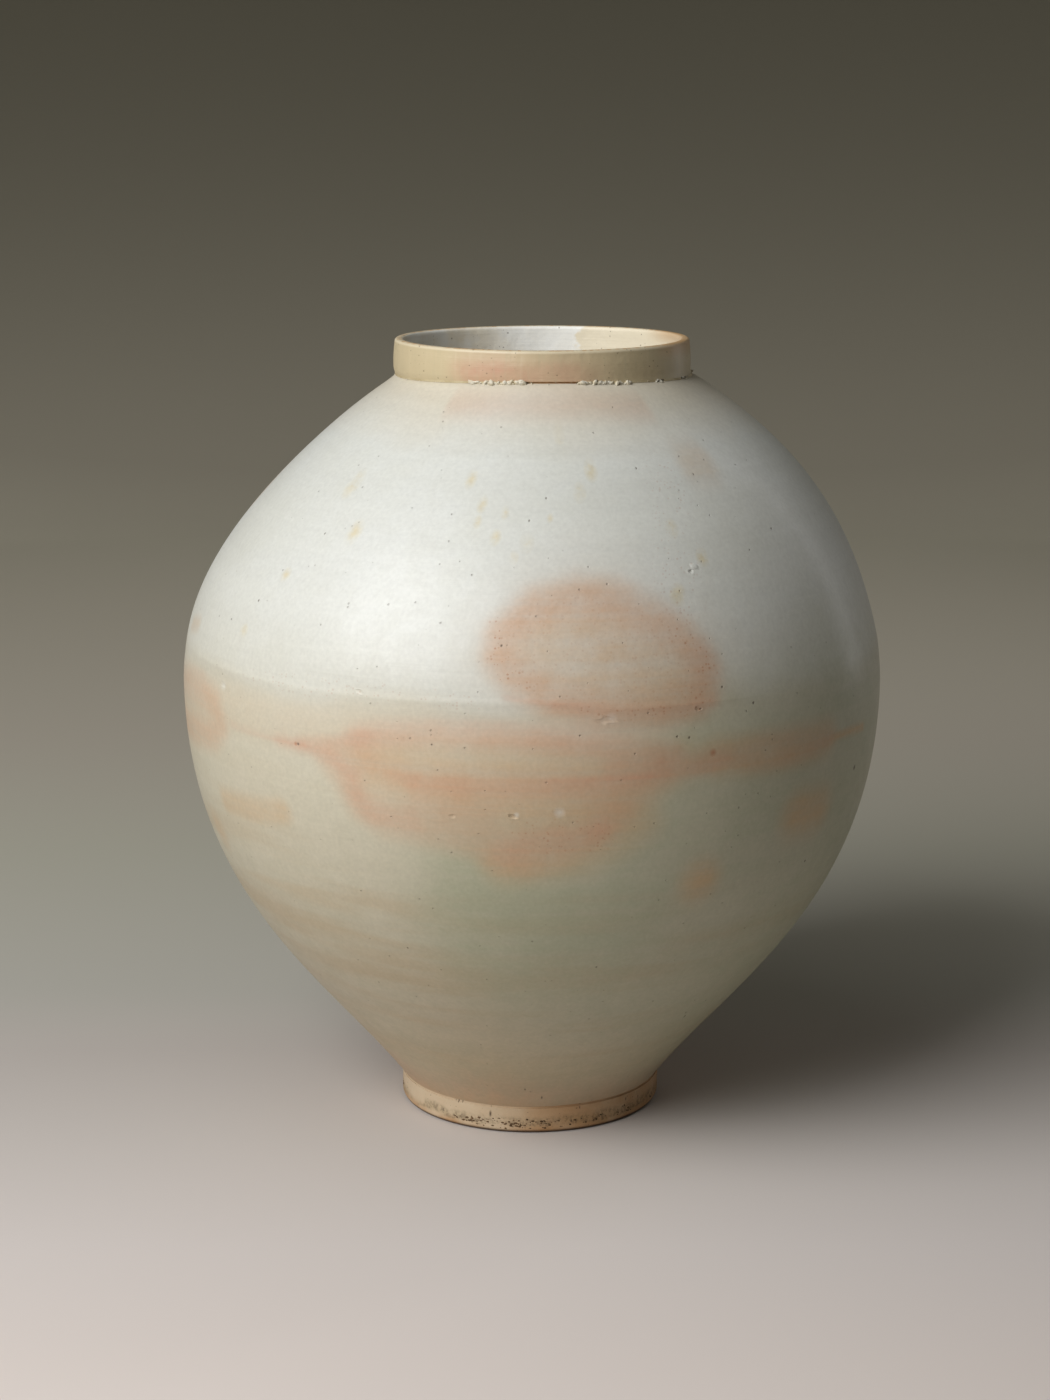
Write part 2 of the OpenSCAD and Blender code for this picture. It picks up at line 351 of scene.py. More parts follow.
# Marks in the glaze that are deep enough to model:
# degrees right of the front, height, width, tallness and depth, in mm
marks = {
    "dimple": (-3, 190, 3.0, 1.7, 0.5),
    "smallDimple": (-12, 189.5, 2.4, 1.5, 0.3),
    "knock": (11, 233.5, 6.5, 2.4, 0.22),
    "knockRight": (25.5, 235.5, 2.4, 1.8, 0.35),
    "scar": (28, 296, 3.4, 1.8, -0.3),
    "scarPit": (27.2, 294.2, 1.9, 1.3, 0.45),
    "seamNick": (-27, 243, 2.4, 1.6, 0.25),
    "seamNickLeft": (-58, 233, 5.0, 2.0, 0.22),
    "mark": (4, 192, 4.6, 3.0, 0.12),
    "backDimple": (152, 204, 3.0, 1.8, 0.45),
    "backNick": (-128, 243, 2.6, 1.8, 0.3),
}
marksFine = {"around": 6.0, "cuts": 5}    # reach of the finer faces in mm, and their cuts


def markDistance(turn, height, turnAt, heightAt, width=2.0, tall=2.0):
    arc = np.radians(turn - turnAt) * wallRadius(heightAt * mm) / mm
    return np.hypot(arc / (width / 2), (height - heightAt) / (tall / 2))


def pressMarks(piece):
    deselectAll()
    piece.select_set(True)
    bpy.context.view_layer.objects.active = piece
    centres = np.empty(len(piece.data.polygons) * 3, np.float32)
    piece.data.polygons.foreach_get("center", centres)
    centres = centres.reshape(-1, 3).astype(float)
    turn, height = turnAndHeight(centres)
    onFace = fromAxis(centres) > wallRadius(centres[:, 2], walls["glaze"] / 2)
    near = np.zeros(len(centres), bool)
    for mark in marks.values():
        near |= markDistance(turn, height, mark[0], mark[1]) < marksFine["around"]
    bpy.ops.object.mode_set(mode="EDIT")
    bpy.ops.mesh.select_mode(type="FACE")
    bpy.ops.mesh.select_all(action="DESELECT")
    bpy.ops.object.mode_set(mode="OBJECT")
    piece.data.polygons.foreach_set("select", near & onFace)
    bpy.ops.object.mode_set(mode="EDIT")
    bpy.ops.mesh.subdivide(number_cuts=marksFine["cuts"])
    bpy.ops.mesh.select_mode(type="VERT")
    bpy.ops.object.mode_set(mode="OBJECT")
    places = readPlaces(piece)
    turn, height = turnAndHeight(places)
    radius = fromAxis(places)
    onFace = radius > wallRadius(places[:, 2], walls["glaze"] / 2)
    shift = np.zeros(len(places))
    for turnAt, heightAt, width, tall, depth in marks.values():
        away = markDistance(turn, height, turnAt, heightAt, width, tall)
        away *= 1 + 0.3 * np.sin(np.radians(turn * 140 + height * 85))    # ragged, not a perfect bowl
        pit = np.exp(-away ** 4 * 0.9)
        rim = 0.28 * np.exp(-((away - 1.45) / 0.35) ** 2)
        shift += (rim - pit) * depth * mm
    onFace &= np.abs(shift) > 1e-7
    writeWidened(piece, places, np.where(onFace, 1 + shift / radius, 1))


# Vertex paint: soft colour that the flame left on the glaze, and a greener layer that is partly the glaze's
# own colour and partly painted shade

def lineDistance(turn, height, points, closed):
    # Distance in millimetres to a line of (degrees, height) points, on the unrolled belly
    arc = math.radians(1) * bellyRadius / mm
    away = np.full(len(turn), 1e9)
    ends = list(zip(points, points[1:] + points[:1])) if closed else list(zip(points, points[1:]))
    for (turnA, heightA), (turnB, heightB) in ends or [(points[0], points[0])]:
        ax, ay = turnA * arc, heightA
        dx, dy = (turnB - turnA) * arc, heightB - heightA
        px, py = turn * arc - ax, height - ay
        part = np.clip((px * dx + py * dy) / max(dx * dx + dy * dy, 1e-9), 0, 1)
        away = np.minimum(away, np.hypot(px - part * dx, py - part * dy))
    return away


def insideLine(turn, height, points):
    within = np.zeros(len(turn), bool)
    for (turnA, heightA), (turnB, heightB) in zip(points, points[1:] + points[:1]):
        if heightA == heightB:
            continue
        crosses = (heightA > height) != (heightB > height)
        within ^= crosses & (turn < (turnB - turnA) * (height - heightA) / (heightB - heightA) + turnA)
    return within


def stroke(points, width, soft, strength):
    # A line of (degrees, height) points, its width and the width of its soft edge in mm
    return {"points": points, "width": width, "soft": soft, "strength": strength,
            "closed": False, "filled": False}


def loop(points, width, soft, strength):
    return {**stroke(points, width, soft, strength), "closed": True}


def patch(points, soft, strength):
    return {**loop(points, 0, soft, strength), "filled": True}


def brush(turn, height, strokes):
    # Later strokes lie over earlier ones, and a negative strength wipes paint away
    paint = np.zeros(len(turn))
    for laid in strokes:
        away = lineDistance(turn, height, laid["points"], laid["closed"])
        if laid["filled"]:
            away = np.where(insideLine(turn, height, laid["points"]), 0, away)
        edge = laid["width"] / 2
        cover = 1 - smooth(edge, edge + laid["soft"], away)
        if laid["strength"] >= 0:
            paint = paint + cover * laid["strength"] * (1 - paint)
        else:
            paint = paint * (1 + cover * laid["strength"])
    return paint


upperRing = [(-5, 270), (-1, 281), (6, 286), (13, 284), (19, 276), (24, 266), (27, 255), (26, 244),
             (20, 237), (11, 237), (3, 243), (-2, 252), (-5, 261)]
lowerPatch = [(-32, 212), (-29, 203), (-27, 191), (-23, 184), (-14, 180), (-8, 176), (-5, 169),
              (-1, 167), (4, 172), (9, 178), (13, 188), (15, 199), (19, 206), (10, 206), (-4, 205),
              (-18, 205), (-26, 210)]
leftRing = [(-84, 221), (-74, 226), (-66, 227), (-60, 222), (-58, 214), (-61, 207), (-70, 203), (-84, 200)]
backRing = [(142, 214), (150, 222), (163, 224), (174, 216), (176, 203), (167, 193), (153, 191), (144, 200)]
blushes = {
    "pink": [
        patch(upperRing, 9, 0.06),
        loop(upperRing, 2, 14, 0.27),
        stroke([(8, 233), (18, 231), (26, 233)], 3, 6, 0.14),
        stroke([(27, 258), (28, 249), (27, 242)], 3, 11, 0.2),
        stroke([(3, 241), (12, 237.5), (22, 236), (28, 238)], 1, 5, 0.28),
        stroke([(-4, 244), (2, 241.5), (8, 240)], 0.5, 2, 0.25),
        stroke([(-27, 222), (-23, 224.5), (-14, 227.5), (-4, 227), (6, 224), (14, 220.5), (21, 216)],
               2.5, 9, 0.38),
        stroke([(-38, 215), (-32, 218), (-26, 222.5)], 1.5, 5, 0.27),
        stroke([(-54, 216), (-46, 215.5), (-37, 215)], 0.4, 1.8, 0.25),
        stroke([(-42, 215), (-36, 214), (-31, 211), (-28, 205)], 0.6, 5, 0.3),
        patch(lowerPatch, 12, 0.28),
        stroke([(-22, 204), (-10, 204), (4, 203), (16, 205), (28, 209)], 1.5, 6, 0.26),
        stroke([(2, 206.5), (10, 206), (18, 207.5)], 0.8, 2, 0.25),
        stroke([(12, 212), (20, 211), (29, 211)], 3, 7, 0.28),
        stroke([(-28, 196), (-25, 188), (-19, 185)], 3, 8, 0.2),
        stroke([(-4, 174), (4, 178), (10, 183)], 3, 9, 0.34),
        stroke([(-24, 201), (-21, 198)], 5, 9, -0.65),
        stroke([(-3, 189), (3, 192), (7, 190)], 4, 9, -0.4),
        stroke([(-22, 216), (-10, 217), (4, 215.5), (10, 214)], 3, 5, -0.2),
        stroke([(29, 212), (38, 215), (47, 213), (54, 211)], 1, 7, 0.22),
        stroke([(31, 209), (38, 206), (46, 206), (53, 209)], 1, 6, 0.24),
        loop(leftRing, 3, 11, 0.26),
        patch(leftRing, 8, 0.03),
        loop(backRing, 4, 10, 0.35),
        stroke([(104, 214), (116, 217), (130, 214)], 4, 9, 0.3),
        stroke([(-112, 182), (-122, 188), (-134, 184)], 6, 12, 0.3),
        stroke([(-32, 361), (-10, 361), (12, 362), (32, 360)], 1, 8, 0.27),
    ],
    "tan": [
        patch(upperRing, 14, 0.56),
        patch(upperRing, 34, 0.14),
        patch([(-26, 213), (-10, 200), (6, 190), (24, 212), (-6, 222)], 16, 0.5),
        stroke([(-4, 168), (8, 172), (16, 186)], 6, 16, 0.5),
        stroke([(29, 212), (40, 211), (52, 210.5)], 8, 11, 0.62),
        stroke([(54, 210), (60, 209.5), (66, 208)], 1, 3, 0.8),
        stroke([(-59, 176), (-50, 177), (-43, 180)], 4, 8, 0.55),
        stroke([(-68, 156), (-67, 154)], 4, 12, 0.4),
        stroke([(-78, 251), (-73, 253.5)], 1, 6, 0.4),
        stroke([(28, 153), (28, 152)], 3, 16, 0.9),
        stroke([(47, 176), (52, 175)], 3, 18, 0.8),
        stroke([(35, 337), (40, 337)], 3, 13, 0.4),
        patch(lowerPatch, 14, 0.3),
        patch(leftRing, 12, 0.35),
        stroke([(-60, 224), (-40, 222), (-16, 226)], 6, 14, 0.22),
        patch(backRing, 8, 0.4),
        stroke([(-98, 318), (-92, 312)], 8, 16, 0.4),
        stroke([(120, 262), (128, 268)], 6, 14, 0.4),
        stroke([(-150, 120), (-138, 116)], 8, 18, 0.45),
    ],
    "rust": [
        stroke([(-6, 274), (-6, 266), (-5, 256), (-2, 250)], 2, 6, 1.0),
        stroke([(24, 268), (27, 259), (28, 250), (26, 240)], 3, 7, 0.8),
        stroke([(6, 238), (16, 235), (26, 236)], 2, 4, 0.6),
        stroke([(-1, 180), (6, 181), (10, 180)], 8, 8, 0.7),
        stroke([(-50, 242), (-36, 242), (-24, 244), (-8, 241)], 3, 6, 0.4),
        stroke([(27, 330), (24, 284)], 12, 14, 0.4),
        patch(upperRing, 4, 0.3),
    ],
    # Greener, darker glaze: partly its own colour and partly painted shade where the belly turns from the
    # lamp, most of all in the third stroke, low on the belly right of the front
    "celadonAndShade": [
        stroke([(62, 120), (56, 160), (60, 200)], 60, 70, 0.75),
        stroke([(-4, 118), (20, 104), (40, 80), (70, 60)], 20, 56, 0.6),
        stroke([(-4, 158), (12, 160), (24, 176), (28, 200)], 30, 54, 0.82),
        stroke([(-160, 150), (-170, 190)], 40, 60, 0.5),
    ],
}


def paintGlaze(piece):
    kept = piece.data.attributes["thrown"]
    places = np.empty(len(piece.data.vertices) * 3, np.float32)
    kept.data.foreach_get("vector", places)
    turn, height = turnAndHeight(places.reshape(-1, 3).astype(float))
    for name, strokes in blushes.items():
        layer = piece.data.attributes.new(name, "FLOAT", "POINT")
        layer.data.foreach_set("value", brush(turn, height, strokes).astype(np.float32))


# Shader pieces

def setValues(tree, made, values):
    for key, value in values.items():
        if isinstance(value, bpy.types.NodeSocket):
            tree.links.new(value, made.inputs[key])
        else:
            made.inputs[key].default_value = value


def addNode(tree, kind, values=None, **settings):
    made = tree.nodes.new(kind)
    for key, value in settings.items():
        setattr(made, key, value)
    setValues(tree, made, values or {})
    return made


def calc(tree, operation, a, b=0.0, clamp=False):
    return addNode(tree, "ShaderNodeMath", {0: a, 1: b}, operation=operation, use_clamp=clamp).outputs[0]


def plus(tree, a, b, clamp=False):
    return calc(tree, "ADD", a, b, clamp)


def times(tree, product, *others):
    for other in others:
        product = calc(tree, "MULTIPLY", product, other)
    return product


def centred(tree, value):
    return calc(tree, "SUBTRACT", value, 0.5)


def shifted(tree, value, by, amount):
    # A value moved up and down by a noise, by half the amount at most
    return plus(tree, value, times(tree, centred(tree, by), amount))


def ramp(tree, value, low, high, toLow=0.0, toHigh=1.0, kind="SMOOTHSTEP"):
    values = {"Value": value, "From Min": low, "From Max": high, "To Min": toLow, "To Max": toHigh}
    return addNode(tree, "ShaderNodeMapRange", values, interpolation_type=kind).outputs[0]


def blend(tree, factor, below, above):
    # Colours are sockets or hex colours
    below, above = (linear(colour) if isinstance(colour, str) else colour for colour in (below, above))
    return addNode(tree, "ShaderNodeMix", {0: factor, 6: below, 7: above}, data_type="RGBA").outputs[2]


def colourRamp(tree, value, low, high, colours):
    # Colours by their place between low and high
    part = ramp(tree, value, low, high, kind="LINEAR")
    made = addNode(tree, "ShaderNodeValToRGB", {0: part})
    stops = made.color_ramp.elements
    for index, (place, colour) in enumerate(colours):
        position = (place - low) / (high - low)
        stop = stops[index] if index < 2 else stops.new(position)
        stop.position = position
        stop.color = linear(colour)
    return made.outputs["Color"]


def noise(tree, vector, scale, detail, roughness=0.5):
    values = {"Vector": vector, "Scale": scale, "Detail": detail, "Roughness": roughness}
    return addNode(tree, "ShaderNodeTexNoise", values).outputs["Fac"]


def separate(tree, vector):
    return addNode(tree, "ShaderNodeSeparateXYZ", {0: vector}).outputs


def bumped(tree, *layers):
    # Bumps laid one over another, each as a height, its strength and its depth in metres
    values = {}
    for height, strength, depth in layers:
        values.update({"Height": height, "Strength": strength, "Distance": depth})
        values["Normal"] = addNode(tree, "ShaderNodeBump", values).outputs["Normal"]
    return values["Normal"]


def newGroup(name, inputs, outputs):
    group = bpy.data.node_groups.new(name, "ShaderNodeTree")
    for label, kind in inputs:
        group.interface.new_socket(label, in_out="INPUT", socket_type="NodeSocket" + kind)
    for label, kind in outputs:
        group.interface.new_socket(label, in_out="OUTPUT", socket_type="NodeSocket" + kind)
    return group, group.nodes.new("NodeGroupInput").outputs, group.nodes.new("NodeGroupOutput").inputs


def useGroup(tree, group, values):
    made = tree.nodes.new("ShaderNodeGroup")
    made.node_tree = group
    setValues(tree, made, values)
    return made.outputs


def makeWheelPlace():
    # The wall unrolled: metres to the right of the front along the belly, and height
    group, into, out = newGroup("wheelPlace", [("Thrown", "Vector")],
                                [("Place", "Vector"), ("Height", "Float")])
    parts = separate(group, into["Thrown"])
    turn = calc(group, "ARCTAN2", parts["X"], times(group, parts["Y"], -1.0))
    along = times(group, turn, bellyRadius)
    place = addNode(group, "ShaderNodeCombineXYZ", {"X": along, "Y": parts["Z"]}).outputs[0]
    group.links.new(place, out["Place"])
    group.links.new(parts["Z"], out["Height"])
    return group


def makeSpecks():
    # Round specks in some of the cells of a 3-D pattern
    group, into, out = newGroup("specks", [("Vector", "Vector"), ("Scale", "Float"), ("Size", "Float"),
                                           ("Share", "Float")], [("Mask", "Float")])
    cells = addNode(group, "ShaderNodeTexVoronoi", {"Vector": into["Vector"], "Scale": into["Scale"]})
    chance = addNode(group, "ShaderNodeSeparateColor", {0: cells.outputs["Color"]}).outputs
    size = times(group, into["Size"], ramp(group, chance["Green"], 0, 1, 0.4, 1.0))
    core = times(group, size, 0.55)
    dot = ramp(group, cells.outputs["Distance"], core, size, 1.0, 0.0, "LINEAR")
    picked = calc(group, "LESS_THAN", chance["Red"], into["Share"])
    group.links.new(times(group, dot, picked), out["Mask"])
    return group


def makeThrowLines():
    # Faint rings left by the fingers, as a height between 0 and 1
    group, into, out = newGroup("throwLines", [("Vector", "Vector"), ("Fineness", "Float")],
                                [("Height", "Float")])
    parts = separate(group, into["Vector"])
    stretched = {"X": times(group, parts["X"], 5.0), "Y": times(group, parts["Y"], 5.0),
                 "Z": times(group, parts["Z"], into["Fineness"])}
    across = addNode(group, "ShaderNodeCombineXYZ", stretched).outputs[0]
    group.links.new(noise(group, across, 1.0, 3.0, 0.6), out["Height"])
    return group


def makeMottle():
    # Cloudy patches, sharpened by Contrast
    group, into, out = newGroup("mottle", [("Vector", "Vector"), ("Scale", "Float"), ("Contrast", "Float")],
                                [("Mask", "Float")])
    cloud = noise(group, into["Vector"], into["Scale"], 5.0, 0.55)
    half = calc(group, "DIVIDE", 0.5, into["Contrast"])
    low = calc(group, "SUBTRACT", 0.5, half)
    high = plus(group, 0.5, half)
    group.links.new(ramp(group, cloud, low, high), out["Mask"])
    return group


def makeSpot():
    # One soft round spot at a place on the wall
    group, into, out = newGroup("spot", [("Place", "Vector"), ("Centre", "Vector"), ("Width", "Float"),
                                         ("Softness", "Float")], [("Mask", "Float")])
    away = addNode(group, "ShaderNodeVectorMath", {0: into["Place"], 1: into["Centre"]},
                   operation="DISTANCE").outputs["Value"]
    edge = times(group, into["Width"], 0.5)
    far = plus(group, edge, into["Softness"])
    group.links.new(ramp(group, away, edge, far, 1.0, 0.0, "LINEAR"), out["Mask"])
    return group


wheelPlace = makeWheelPlace()
specks = makeSpecks()
throwLines = makeThrowLines()
mottle = makeMottle()
spot = makeSpot()


def newMaterial(name):
    material = bpy.data.materials.new(name)
    material.use_nodes = True
    tree = material.node_tree
    return material, tree, tree.nodes["Principled BSDF"]


def thrownVector(tree):
    return addNode(tree, "ShaderNodeAttribute", attribute_name="thrown").outputs["Vector"]


def wallPlace(tree):
    # The place as it was thrown, the same on the unrolled wall, and the height
    thrown = thrownVector(tree)
    where = useGroup(tree, wheelPlace, {"Thrown": thrown})
    return thrown, where["Place"], where["Height"]


def painted(tree, name):
    return addNode(tree, "ShaderNodeAttribute", attribute_name=name).outputs["Fac"]


def mottled(tree, vector, scale, contrast):
    return useGroup(tree, mottle, {"Vector": vector, "Scale": scale, "Contrast": contrast})["Mask"]


def speckled(tree, vector, scale, size, share):
    values = {"Vector": vector, "Scale": scale, "Size": size, "Share": share}
    return useGroup(tree, specks, values)["Mask"]


def throwRings(tree, vector, fineness):
    return useGroup(tree, throwLines, {"Vector": vector, "Fineness": fineness})["Height"]


def spotsMask(tree, place, spots):
    # Spots as (degrees right of the front, height, width in mm), joined into one mask
    mask = 0.0
    for turn, height, width in spots:
        centre = (math.radians(turn) * bellyRadius, height * mm, 0)
        one = useGroup(tree, spot, {"Place": place, "Centre": centre, "Width": width * 0.3 * mm,
                                    "Softness": width * 0.65 * mm})["Mask"]
        mask = calc(tree, "MAXIMUM", mask, one)
    return mask


# In the glazes and clays, clouds and patches are (scale, contrast), dust and dots are (scale, size,
# share of the cells), bumps are (strength, depth), and a range is (from, to) or (from, to, value
# there, value here)

milkGlaze = {
    # Darker from 0.12 to 0.20 m: partly the glaze's own tone and partly painted shade on the lower belly,
    # which faces down
    "colours": [(0.014, "#c49f7b"), (0.024, "#bfa180"), (0.040, "#bfac8b"), (0.075, "#bfb198"),
                (0.12, "#c0b7a0"), (0.20, "#c7bfaa"), (0.236, "#cbc5b5"), (0.246, "#d1d0c7"),
                (0.275, "#d6d7d2"), (0.34, "#d8dad6"), (0.366, "#d6cebd")],
    "top": 0.387,
    "drift": 0.03,           # how far the colours wander up and down
    "driftScale": 14.0,
    "cloud": "#c4c2ae",
    "clouds": (11.0, 1.6),
    "cloudCover": 0.30,
    "fine": "#a9a389",
    "finePatches": (120.0, 2.2),
    "fineByHeight": (0.25, 0.05, 0.06, 0.30),
    "swathe": "#b59b76",
    "swatheRings": 48.0,
    "swatheCover": (0.47, 0.68, 0.0, 0.42),
    "swatheByHeight": (0.235, 0.11),
    # Colour of the greener layer, partly the glaze's own and partly painted shade
    "celadonAndShade": "#a0a387",
    "tan": "#c4a37a",
    "pink": "#c69378",
    "paint": {"celadonAndShade": 0.68, "tan": 0.8, "pink": 0.85},
    "raggedScale": 90.0,
    "patchScale": 24.0,
    "patchRange": (0.3, 0.7, 0.84, 1.14),
    "yellow": "#cfba80",
    "yellowCover": (-0.1, 0.14, 0.08, 0.5),
    "yellowSpots": [(-46, 327, 9), (-17, 333, 6), (7, 328, 6), (10, 337, 7), (3, 352, 7), (-9, 310, 5),
                    (-3, 308, 6), (-13, 316, 4), (-13, 323, 5), (1, 318, 3), (-8, 320, 4), (-49, 287, 5),
                    (-54, 260, 5), (24, 285, 7), (25, 312, 6), (30, 299, 6), (-5, 302, 4), (-38, 308, 8),
                    (96, 330, 9), (118, 300, 6), (150, 322, 8), (-110, 310, 7), (-150, 288, 6)],
    "rust": "#a4633b",
    "rustDots": (620.0, 0.45, 0.5),
    "rustSpots": [(28, 215, 2.8), (-38.5, 215, 1.6)],
    # Painted highlights: pale spots on the dents, where their rims catch the light
    "paintedHighlight": "#dcdeda",
    "paintedHighlightCover": (-0.12, 0.12, 0.05, 0.4),
    "paintedHighlightSpots": [(4, 192, 4), (-2.4, 190.8, 2), (11.8, 234, 4), (10.6, 233, 2.5), (-57.5, 233, 4),
                  (28.5, 297, 3)],
    "dark": "#5b5142",
    "dust": (330.0, 0.20, 0.10),
    "dustCover": 0.32,
    "pitCover": 0.85,
    "pits": [(64, 189, 2.3), (53, 149, 1.2), (43, 66, 1.4), (42, 69, 1.0), (35.6, 235, 1.1), (22, 224, 0.9),
             (24, 223, 1.0), (-15, 222, 0.7), (-23, 118, 0.8), (12, 110, 0.8), (4.6, 20.5, 1.7),
             (-2, 26.5, 1.2), (-53, 274, 1.0), (-59, 263, 0.8), (0, 326, 0.8), (35, 333, 0.8),
             (21, 337, 0.8), (-3, 317, 0.8), (-45, 306, 0.8), (-38, 215, 1.1), (7, 227, 0.7),
             (-5, 266, 0.9), (30, 244, 0.9), (41, 300, 0.7), (49, 307, 0.9), (26, 235.5, 0.9),
             (100, 180, 1.6), (140, 250, 1.3), (-120, 150, 1.6), (-160, 230, 1.2), (170, 120, 1.4)],
    "grainScale": 520.0,
    "grain": 0.22,
    "brushed": 0.10,
    "roughness": 0.44,
    "coat": 0.12,
    "coatRoughness": 0.2,
    "rings": 260.0,
    "ringBump": (0.35, 0.00035),
    "waveScale": 45.0,
    "waveBump": (0.35, 0.0006),
    "peelScale": 420.0,
    "peelBump": (0.35, 0.00012),
    "pitBump": (0.7, 0.0004),
}


def milkGround(tree, thrown, height, fine):
    # The glaze before the flame marked it: colours by height, partly painted shade on the lower belly,
    # clouds, fine mottling and swathes
    look = milkGlaze
    lifted = shifted(tree, height, noise(tree, thrown, look["driftScale"], 3.0), look["drift"])
    colour = colourRamp(tree, lifted, 0.0, look["top"], look["colours"])
    clouds = times(tree, mottled(tree, thrown, *look["clouds"]), look["cloudCover"])
    colour = blend(tree, clouds, colour, look["cloud"])
    fineCover = times(tree, fine, ramp(tree, height, *look["fineByHeight"]))
    colour = blend(tree, fineCover, colour, look["fine"])
    swathes = ramp(tree, throwRings(tree, thrown, look["swatheRings"]), *look["swatheCover"])
    swathes = times(tree, swathes, ramp(tree, height, *look["swatheByHeight"]))
    return blend(tree, swathes, colour, look["swathe"])


def milkPaint(tree, colour, thrown, ragged, streaks):
    # The paint's edges are broken up before it is laid over the glaze
    look = milkGlaze
    patchy = ramp(tree, noise(tree, thrown, look["patchScale"], 3.0), *look["patchRange"])
    for name, full in look["paint"].items():
        paint = times(tree, painted(tree, name), patchy)
        rough = times(tree, plus(tree, ragged, streaks), paint)
        cover = times(tree, plus(tree, paint, rough, clamp=True), full)
        colour = blend(tree, cover, colour, look[name])
    return colour


def milkSpots(tree, colour, thrown, place, ragged):
    look = milkGlaze
    yellow = spotsMask(tree, place, look["yellowSpots"])
    yellow = times(tree, yellow, ramp(tree, ragged, *look["yellowCover"]))
    colour = blend(tree, yellow, colour, look["yellow"])
    rustDots = times(tree, speckled(tree, thrown, *look["rustDots"]), painted(tree, "rust"), 0.5)
    rustSpots = times(tree, spotsMask(tree, place, look["rustSpots"]), 0.6)
    colour = blend(tree, calc(tree, "MAXIMUM", rustDots, rustSpots), colour, look["rust"])
    # Pale spots on the dents: painted highlights
    paintedHighlight = spotsMask(tree, place, look["paintedHighlightSpots"])
    paintedHighlight = times(tree, paintedHighlight, ramp(tree, ragged, *look["paintedHighlightCover"]))
    return blend(tree, paintedHighlight, colour, look["paintedHighlight"])


def makeMilkGlaze():
    look = milkGlaze
    material, tree, surface = newMaterial("milkGlaze")
    thrown, place, height = wallPlace(tree)
    fine = mottled(tree, thrown, *look["finePatches"])
    rings = throwRings(tree, thrown, look["rings"])
    streaks = centred(tree, rings)
    ragged = centred(tree, noise(tree, thrown, look["raggedScale"], 5.0, 0.7))
    colour = milkGround(tree, thrown, height, fine)
    colour = milkPaint(tree, colour, thrown, ragged, streaks)
    colour = milkSpots(tree, colour, thrown, place, ragged)
    dust = speckled(tree, thrown, *look["dust"])
    pits = spotsMask(tree, place, look["pits"])
    dark = calc(tree, "MAXIMUM", times(tree, dust, look["dustCover"]), times(tree, pits, look["pitCover"]))
    colour = blend(tree, dark, colour, look["dark"])
    # Brushed and dusted grain that shows close up
    grain = times(tree, centred(tree, noise(tree, thrown, look["grainScale"], 3.0)), look["grain"])
    grain = plus(tree, grain, times(tree, streaks, look["brushed"]))
    grained = {"Value": plus(tree, grain, 1.0), "Color": colour}
    colour = addNode(tree, "ShaderNodeHueSaturation", grained).outputs[0]
    worn = plus(tree, times(tree, fine, 0.08), look["roughness"])
    normal = bumped(tree, (rings, *look["ringBump"]),
                    (noise(tree, thrown, look["waveScale"], 2.0), *look["waveBump"]),
                    (noise(tree, thrown, look["peelScale"], 2.0), *look["peelBump"]),
                    (times(tree, calc(tree, "MAXIMUM", dust, pits), -1.0), *look["pitBump"]))
    setValues(tree, surface, {"Base Color": colour, "Normal": normal,
                              "Roughness": plus(tree, worn, times(tree, pits, 0.3)),
                              "Coat Weight": look["coat"], "Coat Roughness": look["coatRoughness"]})
    return material


insideGlaze = {
    "colour": "#e9eae5",
    "cream": "#e0d5bb",
    "dark": "#6a5a45",
    "clouds": (16.0, 2.2),
    "dust": (210.0, 0.22, 0.14),
    "cover": 0.6,
    "roughness": (0.3, 0.4),
    "rings": 170.0,
    "ringBump": (0.5, 0.0006),
}


def makeInsideGlaze():
    look = insideGlaze
    material, tree, surface = newMaterial("insideGlaze")
    thrown = thrownVector(tree)
    clouds = mottled(tree, thrown, *look["clouds"])
    colour = blend(tree, times(tree, clouds, look["cover"]), look["colour"], look["cream"])
    dust = speckled(tree, thrown, *look["dust"])
    colour = blend(tree, times(tree, dust, look["cover"]), colour, look["dark"])
    normal = bumped(tree, (throwRings(tree, thrown, look["rings"]), *look["ringBump"]))
    setValues(tree, surface, {"Base Color": colour, "Normal": normal,
                              "Roughness": ramp(tree, clouds, 0, 1, *look["roughness"])})
    return material


